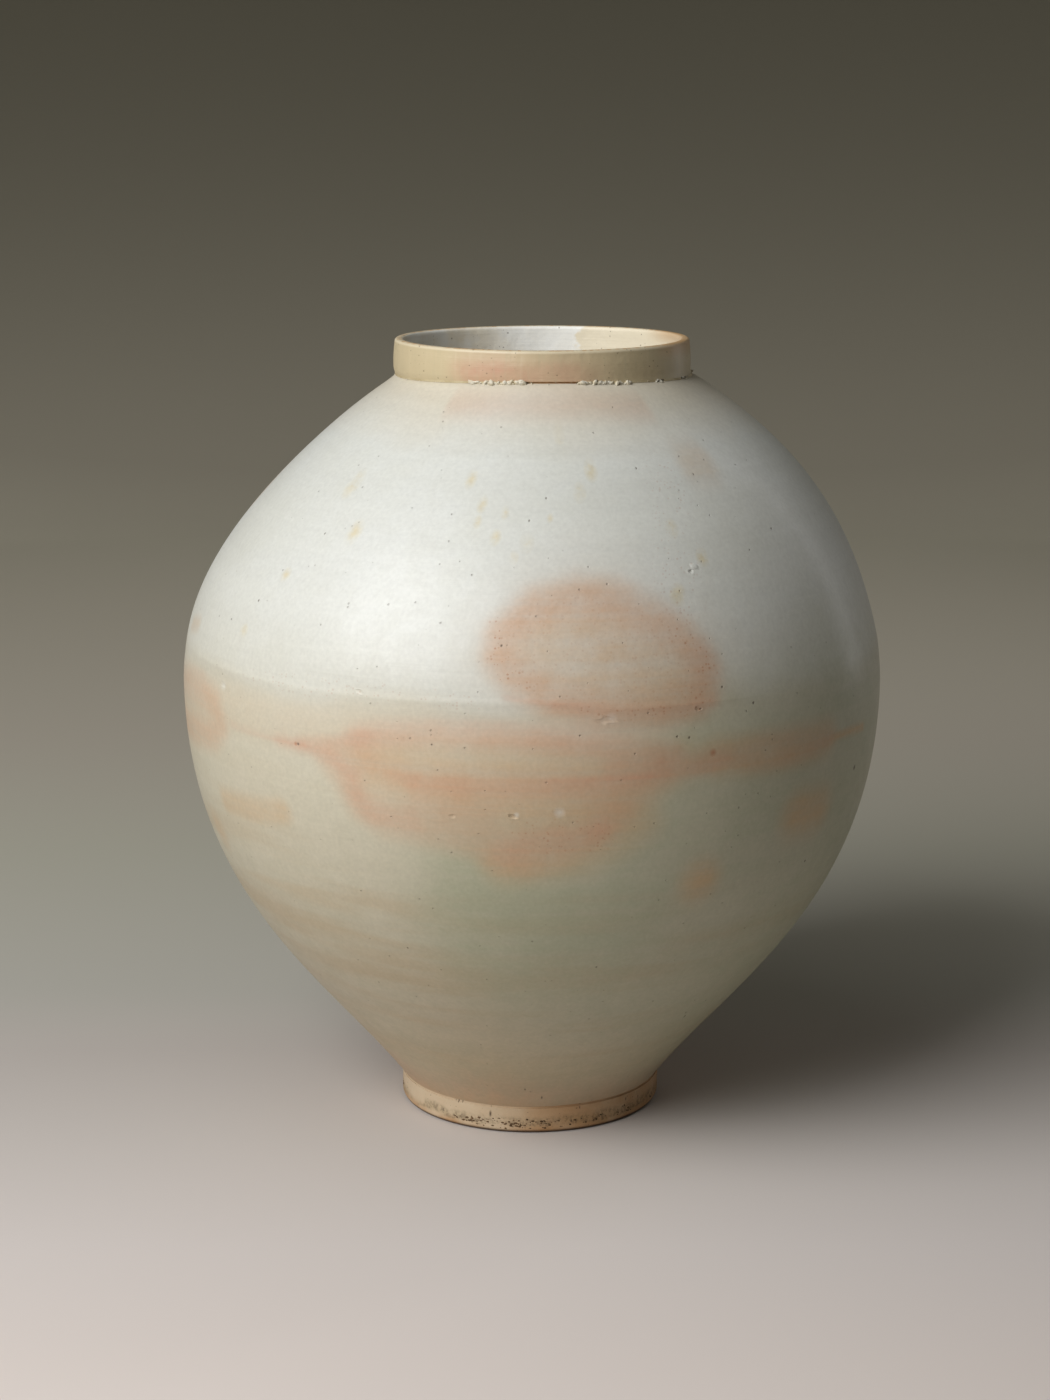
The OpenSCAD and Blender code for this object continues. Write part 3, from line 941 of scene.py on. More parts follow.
mouthGlaze = {
    "colour": "#c7b693",
    "grey": "#b5ab8c",
    "clouds": (22.0, 2.0),
    "cloudCover": 0.45,
    "pinkish": "#c2937a",
    "pinkFrom": (-0.125, -0.080),      # metres to the right of the front, unrolled on the belly
    "pinkTo": (0.10, -0.02),
    "pinkByHeight": (0.376, 0.385, 1.0, 0.25),
    "pinkPatches": (34.0, 2.5),
    "pinkUneven": (0, 1, 0.45, 1.0),
    "hairStretch": (150.0, 24.0, 1.0),
    "hairsGrey": (0.5, 0.75, 0.0, 0.42),
    "hairsPale": (0.48, 0.25, 0.0, 0.16),
    # A paler band round the top of the lip is a painted highlight along its rounded edge; the same colour
    # makes the pale streaks
    "lip": "#dacdb0",
    "lipHighlightByHeight": (0.3852, 0.3862),
    "lipHighlightCover": 0.8,
    "orange": "#c6965c",
    "wornByHeight": (0.38655, 0.38685),
    "wornScale": 130.0,
    "wornPatches": (0.42, 0.6),
    "wornCover": 0.6,
    "inside": "#f5f4ee",
    "insideFrom": 0.0009,      # metres out from the bore
    "insideTo": -0.0001,
    "stain": "#efe3c9",
    "stains": (60.0, 3.0),
    "stainSide": (0.0, -0.045, 0.15, 0.75),
    "cream": "#ecdfc2",
    "creamScale": 90.0,
    "creamWander": 0.03,
    "creamSide": (0.018, 0.0205, 0.0, 0.9),
    "scorchSide": (0.050, 0.064),
    "scorchByHeight": (0.378, 0.386),
    "scorchCover": 0.55,
    "dark": "#5f4d38",
    "dust": (460.0, 0.26, 0.22),
    "dustCover": 0.6,
    "roughness": (0.41, 0.56),
    "rings": 420.0,
    "ringBump": (0.5, 0.0004),
    "lumpScale": 110.0,
    "lumpBump": (0.5, 0.0010),
    "peelScale": 500.0,
    "peelBump": (0.4, 0.00015),
}


def mouthOutside(tree, thrown, place, height, clouds):
    look = mouthGlaze
    colour = blend(tree, times(tree, clouds, look["cloudCover"]), look["colour"], look["grey"])
    # A pinkish stretch at the front, which fades out towards the lip
    aside = separate(tree, place)["X"]
    front = times(tree, ramp(tree, aside, *look["pinkFrom"]), ramp(tree, aside, *look["pinkTo"]))
    low = ramp(tree, height, *look["pinkByHeight"])
    uneven = ramp(tree, mottled(tree, thrown, *look["pinkPatches"]), *look["pinkUneven"])
    colour = blend(tree, times(tree, front, low, uneven), colour, look["pinkish"])
    # Brushed on, so the coat is streaked from the lip down
    stretched = {0: place, 1: look["hairStretch"]}
    spun = addNode(tree, "ShaderNodeVectorMath", stretched, operation="MULTIPLY").outputs[0]
    hairs = noise(tree, spun, 1.0, 4.0)
    colour = blend(tree, ramp(tree, hairs, *look["hairsGrey"]), colour, look["grey"])
    colour = blend(tree, ramp(tree, hairs, *look["hairsPale"]), colour, look["lip"])
    # Paler band round the top of the lip: painted highlight
    lip = times(tree, ramp(tree, height, *look["lipHighlightByHeight"]), look["lipHighlightCover"])
    colour = blend(tree, lip, colour, look["lip"])
    brushed = ramp(tree, noise(tree, place, look["wornScale"], 3.0), *look["wornPatches"])
    worn = times(tree, ramp(tree, height, *look["wornByHeight"]), brushed, look["wornCover"])
    return blend(tree, worn, colour, look["orange"])


def mouthInside(tree, thrown, aside):
    # Inside the bore the glaze is milky, stained on the left and cream on the right
    look = mouthGlaze
    stains = times(tree, mottled(tree, thrown, *look["stains"]), ramp(tree, aside, *look["stainSide"]))
    milk = blend(tree, stains, look["inside"], look["stain"])
    side = shifted(tree, aside, noise(tree, thrown, look["creamScale"], 4.0), look["creamWander"])
    return blend(tree, ramp(tree, side, *look["creamSide"]), milk, look["cream"])


def makeMouthGlaze():
    look = mouthGlaze
    material, tree, surface = newMaterial("mouthGlaze")
    thrown, place, height = wallPlace(tree)
    clouds = mottled(tree, thrown, *look["clouds"])
    colour = mouthOutside(tree, thrown, place, height, clouds)
    parts = separate(tree, thrown)
    squares = [times(tree, parts[axis], parts[axis]) for axis in "XY"]
    reach = calc(tree, "SQRT", plus(tree, *squares))
    inside = ramp(tree, reach, boreRadius + look["insideFrom"], boreRadius + look["insideTo"])
    colour = blend(tree, inside, colour, mouthInside(tree, thrown, parts["X"]))
    scorched = times(tree, ramp(tree, parts["X"], *look["scorchSide"]),
                     ramp(tree, height, *look["scorchByHeight"]), look["scorchCover"])
    colour = blend(tree, scorched, colour, look["orange"])
    dust = speckled(tree, thrown, *look["dust"])
    colour = blend(tree, times(tree, dust, look["dustCover"]), colour, look["dark"])
    normal = bumped(tree, (throwRings(tree, thrown, look["rings"]), *look["ringBump"]),
                    (noise(tree, thrown, look["lumpScale"], 2.0), *look["lumpBump"]),
                    (noise(tree, thrown, look["peelScale"], 3.0), *look["peelBump"]))
    setValues(tree, surface, {"Base Color": colour, "Normal": normal,
                              "Roughness": ramp(tree, clouds, 0, 1, *look["roughness"])})
    return material


bareClay = {
    "colour": "#d0bc9f",
    "shade": "#c0a27e",
    "clouds": (45.0, 2.0),
    "cloudCover": 0.5,
    "orange": "#ab7840",
    # Browner on the right: partly the clay's own colour and partly painted shade on the side turned from the
    # lamp
    "brownAndShadeSide": (-0.09, 0.06),
    "brownAndShadePatches": (0, 1, 0.25, 0.6),
    "edgeByHeight": (0.0068, 0.0012),
    "warmPatches": (32.0, 3.5),
    "warmCover": 0.8,
    # Painted shadow: the lowest few millimetres of the foot are darkened where it meets the floor
    "contactShadow": "#4c3521",
    "contactShadowByHeight": (0.0022, 0.0008, 0.0, 0.9),
    "driftScale": 70.0,
    "drift": 0.006,
    "bandFrom": (0.0026, 0.0046),
    "bandTo": (0.0098, 0.0055),
    "olive": "#85754a",
    "stains": (48.0, 2.4),
    "oliveSide": (-0.11, -0.06, 0.6, 0.25),
    "clusters": (560.0, 5.0),
    "clusterStains": (0.0, 0.6),
    "clusterCrumbs": (900.0, 0.5, 0.7),
    "crumbRange": (0, 1, 0.55, 1.0),
    "clusterCover": 0.8,
    "dark": "#4a3a28",
    "dust": (620.0, 0.27, 0.25),
    "dustCover": 0.6,
    "holes": [(-17.5, 9.3, 2.6), (-33, 13.2, 1.6), (-31, 13.4, 1.3), (22, 12, 1.2), (47, 10.5, 1.6),
              (56, 9, 1.4)],
    "holeCover": 0.95,
    "roughness": (0.6, 0.82),
    "grainScale": 700.0,
    "grainBump": (0.7, 0.0003),
    "dustBump": (0.6, 0.0004),
}


def clayGround(tree, thrown, height, aside):
    look = bareClay
    clouds = mottled(tree, thrown, *look["clouds"])
    colour = blend(tree, times(tree, clouds, look["cloudCover"]), look["colour"], look["shade"])
    # The right side browned: partly the clay's own colour, partly painted shade
    brownedAndShaded = times(tree, ramp(tree, aside, *look["brownAndShadeSide"]), ramp(tree, clouds, *look["brownAndShadePatches"]))
    colour = blend(tree, brownedAndShaded, colour, look["orange"])
    warm = times(tree, mottled(tree, thrown, *look["warmPatches"]), look["warmCover"])
    edge = times(tree, ramp(tree, height, *look["edgeByHeight"]), warm)
    colour = blend(tree, edge, colour, look["orange"])
    # The foot darkened towards the floor: painted shadow
    return blend(tree, ramp(tree, height, *look["contactShadowByHeight"]), colour, look["contactShadow"])


def clayBand(tree, colour, thrown, height, aside, stain):
    # Grit and stains gather in a band round the lower half
    look = bareClay
    level = shifted(tree, height, noise(tree, thrown, look["driftScale"], 2.0), look["drift"])
    band = times(tree, ramp(tree, level, *look["bandFrom"]), ramp(tree, level, *look["bandTo"]))
    olive = times(tree, band, stain, ramp(tree, aside, *look["oliveSide"]))
    colour = blend(tree, olive, colour, look["olive"])
    clusters = times(tree, mottled(tree, thrown, *look["clusters"]), band,
                     ramp(tree, stain, *look["clusterStains"]))
    crumbly = speckled(tree, thrown, *look["clusterCrumbs"])
    clusters = times(tree, clusters, ramp(tree, crumbly, *look["crumbRange"]), look["clusterCover"])
    return blend(tree, clusters, colour, look["dark"])


def makeBareClay():
    look = bareClay
    material, tree, surface = newMaterial("bareClay")
    thrown, place, height = wallPlace(tree)
    aside = separate(tree, place)["X"]
    stain = mottled(tree, thrown, *look["stains"])
    colour = clayGround(tree, thrown, height, aside)
    colour = clayBand(tree, colour, thrown, height, aside, stain)
    dust = times(tree, speckled(tree, thrown, *look["dust"]), look["dustCover"])
    dust = calc(tree, "MAXIMUM", dust, spotsMask(tree, place, look["holes"]))
    colour = blend(tree, times(tree, dust, look["holeCover"]), colour, look["dark"])
    normal = bumped(tree, (noise(tree, thrown, look["grainScale"], 4.0), *look["grainBump"]),
                    (times(tree, dust, -1.0), *look["dustBump"]))
    setValues(tree, surface, {"Base Color": colour, "Normal": normal,
                              "Roughness": ramp(tree, stain, 0, 1, *look["roughness"])})
    return material


def makeGroundedMaterial(name, light, dark, roughness, scale):
    # Crumbs, sand, slip and hidden clay: two shades, a grain and a dull face
    material, tree, surface = newMaterial(name)
    place = addNode(tree, "ShaderNodeTexCoord").outputs["Object"]
    patches = mottled(tree, place, scale, 2.2)
    setValues(tree, surface, {"Base Color": blend(tree, patches, light, dark),
                              "Roughness": ramp(tree, patches, 0, 1, roughness - 0.08, roughness + 0.08),
                              "Normal": bumped(tree, (noise(tree, place, scale * 4, 3.0), 0.6, 0.0002))})
    return material


# The groove under the mouth ring, with its places in degrees to the right of the front
groove = {
    "glazed": "#c9bb98",
    "shade": "#a8946d",
    "bare": "#dcb382",
    "from": -7.0,
    "to": 12.0,
    "fade": 3,
    "crack": "#57442f",
    "cracks": [(48, 51), (66, 72)],
    "crackFade": 1,
    "proud": 0.0002,
    "openDepth": 0.0003,
    "wanderScale": 160.0,
    "wander": 0.03,
    "edge": (0.004, 0.002),
    "bump": (0.6, 0.0004),
}


def stretchMask(tree, along, start, end):
    low, high = (math.radians(turn) * bellyRadius for turn in (start, end))
    outer, inner = groove["edge"]
    return times(tree, ramp(tree, along, low - outer, low + inner),
                 ramp(tree, along, high - inner, high + outer, 1.0, 0.0))


def makeGrooveSlip():
    # Bare clay shows only over a short stretch at the front, thin glaze hides the rest
    material, tree, surface = newMaterial("grooveSlip")
    thrown, place, height = wallPlace(tree)
    wander = noise(tree, thrown, groove["wanderScale"], 4.0)
    along = shifted(tree, separate(tree, place)["X"], wander, groove["wander"])
    colour = blend(tree, ramp(tree, wander, 0.35, 0.65, 0.0, 0.5), groove["glazed"], groove["shade"])
    bare = stretchMask(tree, along, groove["from"], groove["to"])
    colour = blend(tree, bare, colour, groove["bare"])
    for start, end in groove["cracks"]:
        colour = blend(tree, stretchMask(tree, along, start, end), colour, groove["crack"])
    setValues(tree, surface, {"Base Color": colour, "Normal": bumped(tree, (wander, *groove["bump"])),
                              "Roughness": ramp(tree, wander, 0.3, 0.7, 0.6, 0.8)})
    return material


materials = {
    "milkGlaze": makeMilkGlaze(),
    "insideGlaze": makeInsideGlaze(),
    "mouthGlaze": makeMouthGlaze(),
    "bareClay": makeBareClay(),
    "bodyClay": makeGroundedMaterial("bodyClay", "#c9b393", "#b99b78", 0.8, 60.0),
    "grooveSlip": makeGrooveSlip(),
    "slip": makeGroundedMaterial("slip", "#c79a66", "#a9794a", 0.75, 130.0),
    "crumb": makeGroundedMaterial("crumb", "#ddd9cb", "#c9bc9e", 0.4, 300.0),
    "sand": makeGroundedMaterial("sand", "#6b4c28", "#38260f", 0.7, 500.0),
}
print("materials made:", len(materials))


def dress(piece, material, node):
    piece.data.materials.clear()
    piece.data.materials.append(materials[material])
    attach(piece, "root")
    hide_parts(node)


def finishTurned(piece, material, node):
    settle(piece)
    polish(piece)
    dress(piece, material, node)
    print("turned", piece.name, len(piece.data.polygons), "faces")


# Glaze over the body

def makeOuterGlaze():
    outline = outsideFine() + outside(baseHeight, neckHeight, mesh["hiddenStep"], walls["glaze"])[::-1]
    piece = turnOnWheel("outerGlaze", outline, mesh["wedges"])
    pressMarks(piece)
    finishTurned(piece, "milkGlaze", "outer_glaze")
    paintGlaze(piece)


# Clay bowls, the slip between them, and the glaze inside

def rollLine(coat=0.0):
    line = []
    for angle in range(15, 180, 15):
        turned = math.radians(angle)
        height = seamTop - shape["rollHeight"] / 2 * math.cos(turned)
        radius = float(wallRadius(height, walls["glaze"] + walls["clay"] + coat))
        line.append((radius - shape["rollOut"] * math.sin(turned), height))
    return line


def makeLowerBowl():
    step = mesh["hiddenStep"]
    outline = ([(0.0, baseHeight)] + outside(baseHeight, seam, step, walls["glaze"]) + innerPoint(seam)
               + innerWall(wallFoot, rollLow, step)[::-1] + floorLine()[::-1])
    piece = turnOnWheel("lowerBowl", outline, mesh["hiddenWedges"])
    finishTurned(piece, "bodyClay", "lower_bowl")


def makeUpperBowl():
    step = mesh["hiddenStep"]
    outline = (outside(seamTop, neckHeight, step, walls["glaze"])
               + innerWall(rollHigh, neckHeight, step, bore=boreRadius)[::-1] + innerPoint(seamTop))
    piece = turnOnWheel("upperBowl", outline, mesh["hiddenWedges"])
    finishTurned(piece, "bodyClay", "upper_bowl")


def makeBellySlip():
    outline = (outside(seam, seamTop, mm, walls["glaze"])
               + innerWall(seamTop, rollHigh, mesh["endsOnly"]) + rollLine()[::-1]
               + innerWall(rollLow, seam, mesh["endsOnly"]))
    piece = turnOnWheel("bellySlip", outline, mesh["hiddenWedges"])
    finishTurned(piece, "slip", "belly_slip")


def makeInnerGlaze():
    coat = walls["innerGlaze"]
    flush = boreRadius - walls["mouthGlaze"]
    step, fineStep = mesh["innerStep"], mesh["shoulderStep"]
    face = (floorLine(coat) + innerWall(wallFoot, rollLow, step, coat) + rollLine(coat)
            + innerWall(rollHigh, neckHeight, fineStep, coat, flush))
    back = (floorLine() + innerWall(wallFoot, rollLow, 2 * step) + rollLine()
            + innerWall(rollHigh, neckHeight, 2 * fineStep, bore=boreRadius))
    piece = turnOnWheel("innerGlaze", face + back[::-1], mesh["wedges"])
    finishTurned(piece, "insideGlaze", "inner_glaze")


# Mouth ring

mouth = {
    "swell": 0.0003,
    "draw": 0.0004,
    "rings": 14,
    "lipSteps": 20,
    "hiddenRings": 4,
    "hiddenLipSteps": 8,
    "square": 0.7,           # below 1, so that the lip is flatter than a half round
}


def mouthSide(part, coat):
    return mouthRadius + coat + mouth["swell"] * 4 * part * (1 - part) - mouth["draw"] * part * part


def mouthOutline(coat, rings, lipSteps):
    lipRadius = (mouthSide(1, 0) - boreRadius) / 2
    lipHeight = mouthHigh.z - walls["mouthGlaze"] - lipRadius
    start = mouthLow.z
    line = []
    for ring in range(rings + 1):
        part = ring / rings
        line.append((mouthSide(part, coat), start + (lipHeight - start) * part))
    for step in range(1, lipSteps):
        turned = math.pi * step / lipSteps
        up = math.sin(turned) ** mouth["square"]
        out = math.copysign(abs(math.cos(turned)) ** mouth["square"], math.cos(turned))
        reach = lipRadius + coat
        line.append((boreRadius + lipRadius + reach * out, lipHeight + reach * up))
    for ring in range(rings + 1):
        line.append((boreRadius - coat, lipHeight + (start - lipHeight) * ring / rings))
    return line


def makeMouthRing():
    face = mouthOutline(walls["mouthGlaze"], mouth["rings"], mouth["lipSteps"])
    clay = mouthOutline(0.0, mouth["hiddenRings"], mouth["hiddenLipSteps"])
    coat = turnOnWheel("mouthGlaze", face + clay[::-1], mesh["wedges"])
    finishTurned(coat, "mouthGlaze", "collar_glaze")
    ring = turnOnWheel("mouthRing", clay, mesh["hiddenWedges"])
    finishTurned(ring, "bodyClay", "neck_collar")


def openGroove(turn):
    # 1 where the groove under the mouth ring is open, 0 where slip fills it
    def stretch(start, end, fade):
        return smooth(start - fade, start, turn) * (1 - smooth(end, end + fade, turn))

    opened = stretch(groove["from"], groove["to"], groove["fade"])
    for start, end in groove["cracks"]:
        opened = np.maximum(opened, stretch(start, end, groove["crackFade"]))
    return opened


def makeMouthSlip():
    outer = slipHigh.y
    outline = [(outer, slipLow.z), (outer - groove["openDepth"], slipLow.z + 0.5 * mm), (outer, slipHigh.z),
               (boreRadius, slipHigh.z), (boreRadius, slipLow.z)]
    piece = turnOnWheel("mouthSlip", outline, mesh["wedges"])
    places = readPlaces(piece)
    radius = fromAxis(places)
    filled = (shape["neckRadius"] + groove["proud"] - radius) * (1 - openGroove(turnAndHeight(places)[0]))
    outerFace = radius > boreRadius + 2 * mm
    writeWidened(piece, places, 1 + np.where(outerFace, filled, 0) / radius)
    finishTurned(piece, "grooveSlip", "collar_slip")


# Foot

foot = {
    "width": 0.0125,
    "round": 0.0026,         # of the outer lower edge
    "bevel": 0.002,          # of the inner lower edge
    "fillet": 0.0025,        # of the slip inside
    "innerRings": 4,
    "rings": 12,
    "roundSteps": 8,
    "filletSteps": 6,
    "roughness": 0.00022,
    "waves": 14,
}
footInner = footRadius - foot["width"]
underGlaze = {"flat": 0.5, "shoulder": 0.001, "fall": 0.00005, "edge": 0.0004}


def roughen(piece, amount, lowest, seed):
    # Worn and pitted clay: faces that show are pressed in a little, never out
    rng = np.random.default_rng(seed)
    waves = [(rng.uniform(3, 40), rng.uniform(200, 1500), rng.uniform(0, 6.28))
             for _ in range(foot["waves"])]
    places = readPlaces(piece)
    angle = np.arctan2(places[:, 1], places[:, 0])
    rough = sum(np.sin(a * angle + b * places[:, 2] + c) for a, b, c in waves) / len(waves)
    press = amount * (0.5 + 0.9 * rough).clip(0, 1)
    press = np.where(places[:, 2] > lowest, press, 0)
    writeWidened(piece, places, 1 - press / np.maximum(fromAxis(places), 1e-9))


def makeFootRing():
    top, bevel, rounding = footHigh.z, foot["bevel"], foot["round"]
    line = [(footInner, float(z)) for z in np.linspace(top, bevel, foot["innerRings"] + 1)]
    line += [(footInner + bevel * 0.5, bevel * 0.4), (footInner + bevel, 0.0)]
    for step in range(foot["roundSteps"] + 1):
        turned = math.radians(-90 + 90 * step / foot["roundSteps"])
        out, up = rounding * math.cos(turned), rounding * math.sin(turned)
        line.append((footRadius - rounding + out, rounding + up))
    for ring in range(1, foot["rings"] + 1):
        line.append((footRadius, rounding + (top - rounding) * ring / foot["rings"]))
    piece = turnOnWheel("footRing", line, mesh["wedges"])
    roughen(piece, foot["roughness"], rounding * 0.4, 7)
    finishTurned(piece, "bareClay", "foot_ring")


def makeFootSlip():
    outer = footRadius - 2 * shape["footLedge"]
    fillet = foot["fillet"]
    line = [(outer, footHigh.z), (outer, baseHeight)]
    for step in range(foot["filletSteps"] + 1):
        turned = math.radians(90 - 90 * step / foot["filletSteps"])
        out, up = fillet * math.cos(turned), fillet * math.sin(turned)
        line.append((footInner - fillet + out, baseHeight - fillet + up))
    line.append((footInner, footHigh.z))
    finishTurned(turnOnWheel("footSlip", line, mesh["wedges"]), "bareClay", "foot_slip")


def makeBaseGlaze():
    low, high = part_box("base_glaze")
    outline = [(0.0, low.z), (high.y * underGlaze["flat"], low.z),
               (high.y - underGlaze["shoulder"], low.z + underGlaze["fall"]),
               (high.y, low.z + underGlaze["edge"]), (high.y, high.z), (0.0, high.z)]
    piece = turnOnWheel("baseGlaze", outline, mesh["wedges"])
    finishTurned(piece, "insideGlaze", "base_glaze")


# Crumbs of crawled glaze in the groove under the mouth ring, and sand fused to the foot

crumbs = {
    "size": 0.0032,
    "inOut": (-0.0006, 0.0005),
    "lift": (-0.0001, 0.0008),
    "ragged": 0.85,
    "seed": 11,
    "lumpSeed": 3,
    "rows": [(-66, -30, 16, 0.3), (-29, -7, 34, 0.95), (-6, 11, 4, 0.3), (12, 35, 36, 0.9), (36, 44, 5, 0.4),
             (46, 52, 5, 0.6), (66, 74, 6, 0.7), (95, 128, 20, 0.8), (150, 171, 14, 0.9),
             (-168, -130, 22, 0.7), (-110, -84, 12, 0.6)],
}
grit = {
    "size": 0.0016,
    "rows": [(-34, -14, 130), (-14, 6, 130), (6, 26, 70), (26, 56, 50), (60, 120, 34), (130, 179, 40),
             (-175, -120, 40), (-110, -46, 44)],
    "clump": 0.0016,
    "perClump": 6,
    "lowest": 0.0022,
    "level": 0.0034,
    "spread": 0.0018,
    "sunk": 0.0002,
    "ragged": 0.45,
    "seed": 23,
    "lumpSeed": 5,
}


def makeLump(name, roughness, seed):
    # An icosphere knocked into a ragged lump, used as the pattern for the copies
    deselectAll()
    bpy.ops.mesh.primitive_ico_sphere_add(subdivisions=2, radius=0.5, location=(0, 0, 0))
    piece = bpy.context.object
    piece.name = piece.data.name = name
    rng = np.random.default_rng(seed)
    places = readPlaces(piece)
    places *= 1 + roughness * (rng.random((len(places), 1)) - 0.5)
    writePlaces(piece, places)
    return piece


def scatter(pattern, name, copies):
    # Every copy has its own mesh, and all are joined into one piece
    made = []
    for place, size, turn in copies:
        copy = pattern.copy()
        copy.data = pattern.data.copy()
        bpy.context.collection.objects.link(copy)
        copy.location, copy.scale, copy.rotation_euler = place, size, turn
        made.append(copy)
    deselectAll()
    for copy in made:
        copy.select_set(True)
    bpy.context.view_layer.objects.active = made[0]
    bpy.ops.object.join()
    piece = bpy.context.object
    bpy.ops.object.transform_apply(location=True, rotation=True, scale=True)
    piece.name = piece.data.name = name
    bpy.data.objects.remove(pattern)
    return piece


def onSettledJar(turn, radius, height):
    return settled(np.array([(radius * math.sin(turn), -radius * math.cos(turn), height)]))[0]


def finishScattered(piece, material, node, count):
    polish(piece, 60)
    dress(piece, material, node)
    print("scattered", piece.name, count)


def makeCrumbs():
    rng = random.Random(crumbs["seed"])
    neck = shape["neckRadius"]
    copies = []
    for start, end, count, strength in crumbs["rows"]:
        for index in range(count):
            turn = math.radians(start + (end - start) * (index + rng.uniform(0.1, 0.9)) / count)
            size = crumbs["size"] * strength * (0.35 + 0.65 * rng.random() ** 1.6)
            radius = neck + rng.uniform(*crumbs["inOut"])
            height = neckHeight + rng.uniform(*crumbs["lift"]) - max(0, radius - neck) * 0.6
            place = onSettledJar(turn, radius, height)
            sizes = (size * rng.uniform(0.7, 1.8), size * rng.uniform(0.6, 0.9), size * rng.uniform(0.5, 0.9))
            tilts = (rng.uniform(-0.8, 0.8), rng.uniform(-0.8, 0.8), turn + rng.uniform(-0.5, 0.5))
            copies.append((place, sizes, tilts))
    lump = makeLump("crumbPattern", crumbs["ragged"], crumbs["lumpSeed"])
    piece = scatter(lump, "glazeCrumbs", copies)
    finishScattered(piece, "crumb", "collar_crumbs", len(copies))


def makeGrit():
    rng = random.Random(grit["seed"])
    radius = footRadius - foot["roughness"] - grit["sunk"]
    clump = grit["clump"]
    copies = []
    for start, end, count in grit["rows"]:
        clumps = [(rng.uniform(start, end), grit["level"] + abs(rng.gauss(0, grit["spread"])))
                  for _ in range(count // grit["perClump"] + 2)]
        for index in range(count):
            middle, level = rng.choice(clumps)
            turn = math.radians(middle) + rng.gauss(0, clump) / footRadius
            size = grit["size"] * rng.uniform(0.25, 1.0) ** 1.8
            height = max(grit["lowest"], level + rng.gauss(0, clump * 0.4))
            sizes = (size * rng.uniform(0.8, 1.6), size * 0.6, size * rng.uniform(0.6, 1.1))
            copies.append((onSettledJar(turn, radius, height), sizes, (0, 0, turn)))
    lump = makeLump("gritPattern", grit["ragged"], grit["lumpSeed"])
    piece = scatter(lump, "kilnGrit", copies)
    finishScattered(piece, "sand", "kiln_grit", len(copies))


makeOuterGlaze()
makeLowerBowl()
makeUpperBowl()
makeBellySlip()
makeInnerGlaze()
makeMouthRing()
makeMouthSlip()
makeFootRing()
makeFootSlip()
makeBaseGlaze()
makeCrumbs()
makeGrit()

# Studio: a round floor that curves up into a round wall

studio = {
    "floorRadius": 2.6,
    "innerRing": 0.78,
    "cove": 0.8,
    "coveSteps": 12,
    "wedges": 96,
    "wallHeight": 3.4,
    "plain": "#d0cbc6",      # what lights the jar from below
    "plainWall": "#57544a",
    # What the camera sees of the floor, by depth behind the jar's axis: painted light and shade, darkest just
    # behind the axis and lighter towards the front and the back
    "seen": [(-0.8, "#f0e9e5"), (-0.326, "#dfd5cf"), (-0.206, "#d9d1cd"), (-0.07, "#ccc5c0"),
             (0.06, "#c0b9b3"), (0.162, "#bbb8af"), (0.462, "#c4c1b2"), (0.785, "#d2cabb"),
             (1.386, "#e8e0cd"), (1.75, "#f2ebd6"), (2.02, "#dfd7c4")],
    # Painted shade: the wall darkens to this colour higher up
    "high": "#6b6858",
    "fade": 0.04,            # share of the floor's colour left a metre up the wall
}


def makeStudioPaper():
    material, tree, surface = newMaterial("studioPaper")
    parts = separate(tree, addNode(tree, "ShaderNodeTexCoord").outputs["Object"])
    # The wall darkens with height: painted shade
    up = calc(tree, "SUBTRACT", 1.0, calc(tree, "POWER", studio["fade"], parts["Z"]))
    nearest, farthest = studio["seen"][0][0], studio["seen"][-1][0]
    byDepth = colourRamp(tree, parts["Y"], nearest, farthest, studio["seen"])
    rays = addNode(tree, "ShaderNodeLightPath").outputs
    mirrored = calc(tree, "MAXIMUM", rays["Is Glossy Ray"], rays["Is Transmission Ray"])
    seen = calc(tree, "MAXIMUM", rays["Is Camera Ray"], mirrored)
    colour = blend(tree, seen, blend(tree, up, studio["plain"], studio["plainWall"]),
                   blend(tree, up, byDepth, studio["high"]))
    setValues(tree, surface, {"Base Color": colour, "Roughness": 0.9, "Specular IOR Level": 0.1})
    return material


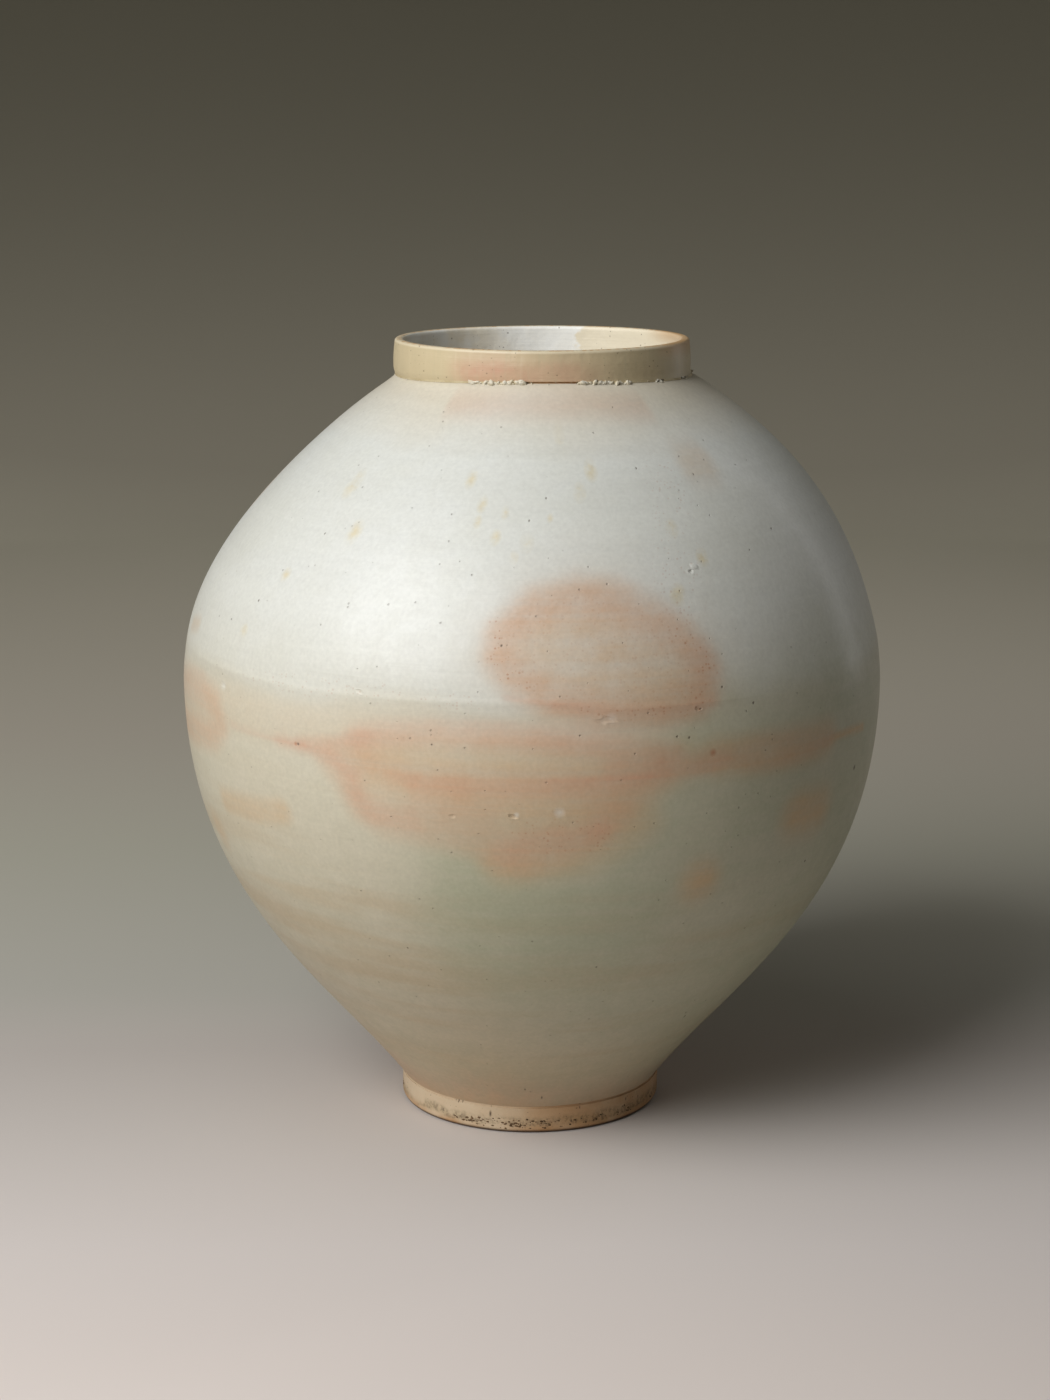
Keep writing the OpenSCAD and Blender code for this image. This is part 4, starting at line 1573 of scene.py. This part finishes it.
def makeStudio():
    cove, radius = studio["cove"], studio["floorRadius"]
    line = [(0.0, 0.0), (studio["innerRing"], 0.0)]
    for step in range(studio["coveSteps"] + 1):
        turned = math.radians(90 * step / studio["coveSteps"])
        line.append((radius - cove + cove * math.sin(turned), cove - cove * math.cos(turned)))
    line.append((radius, studio["wallHeight"]))
    piece = spinLine("studioFloor", line, studio["wedges"], inward=True)
    polish(piece, 60)
    piece.data.materials.append(makeStudioPaper())


lamps = {
    "key": {"place": (-0.98, -0.97, 1.17), "aim": (0, 0, 0.2), "size": (1.25, 1.05), "power": 29.3},
    "top": {"place": (-0.6, -0.5, 1.9), "aim": (0, 0, 0.3), "size": (1.2, 1.2), "power": 2.6},
    "strip": {"place": (1.26, 0.80, 1.1), "aim": (0, 0, 1.1), "size": (0.22, 2.1), "power": 2.8},
}
worldLight = {"colour": "#9c9a8c", "strength": 0.285}


def makeLights():
    for name, lamp in lamps.items():
        deselectAll()
        bpy.ops.object.light_add(type="AREA", location=lamp["place"])
        light = bpy.context.object
        light.name = name
        light.data.shape = "RECTANGLE"
        light.data.size, light.data.size_y = lamp["size"]
        light.data.energy = lamp["power"]
        towards = [a - b for a, b in zip(lamp["aim"], lamp["place"])]
        flat = math.hypot(towards[0], towards[1])
        light.rotation_euler = (math.atan2(flat, -towards[2]), 0, math.atan2(-towards[0], towards[1]))
    world = bpy.data.worlds.new("studioAir")
    world.use_nodes = True
    bpy.context.scene.world = world
    background = world.node_tree.nodes["Background"]
    background.inputs["Color"].default_value = linear(worldLight["colour"])
    background.inputs["Strength"].default_value = worldLight["strength"]


def makeCamera():
    deselectAll()
    place = (camera["sideways"], -camera["distance"], camera["height"])
    bpy.ops.object.camera_add(location=place, rotation=(math.radians(90 - camera["pitchDown"]), 0, 0))
    eye = bpy.context.object
    eye.name = "photoView"
    eye.data.lens = camera["lens"]
    eye.data.sensor_fit = "VERTICAL"
    eye.data.sensor_height = camera["sensor"]
    eye.data.clip_start = 0.01
    bpy.context.scene.camera = eye


makeStudio()
makeLights()
makeCamera()
bpy.context.scene.view_settings.view_transform = "Standard"

print("scene finished")
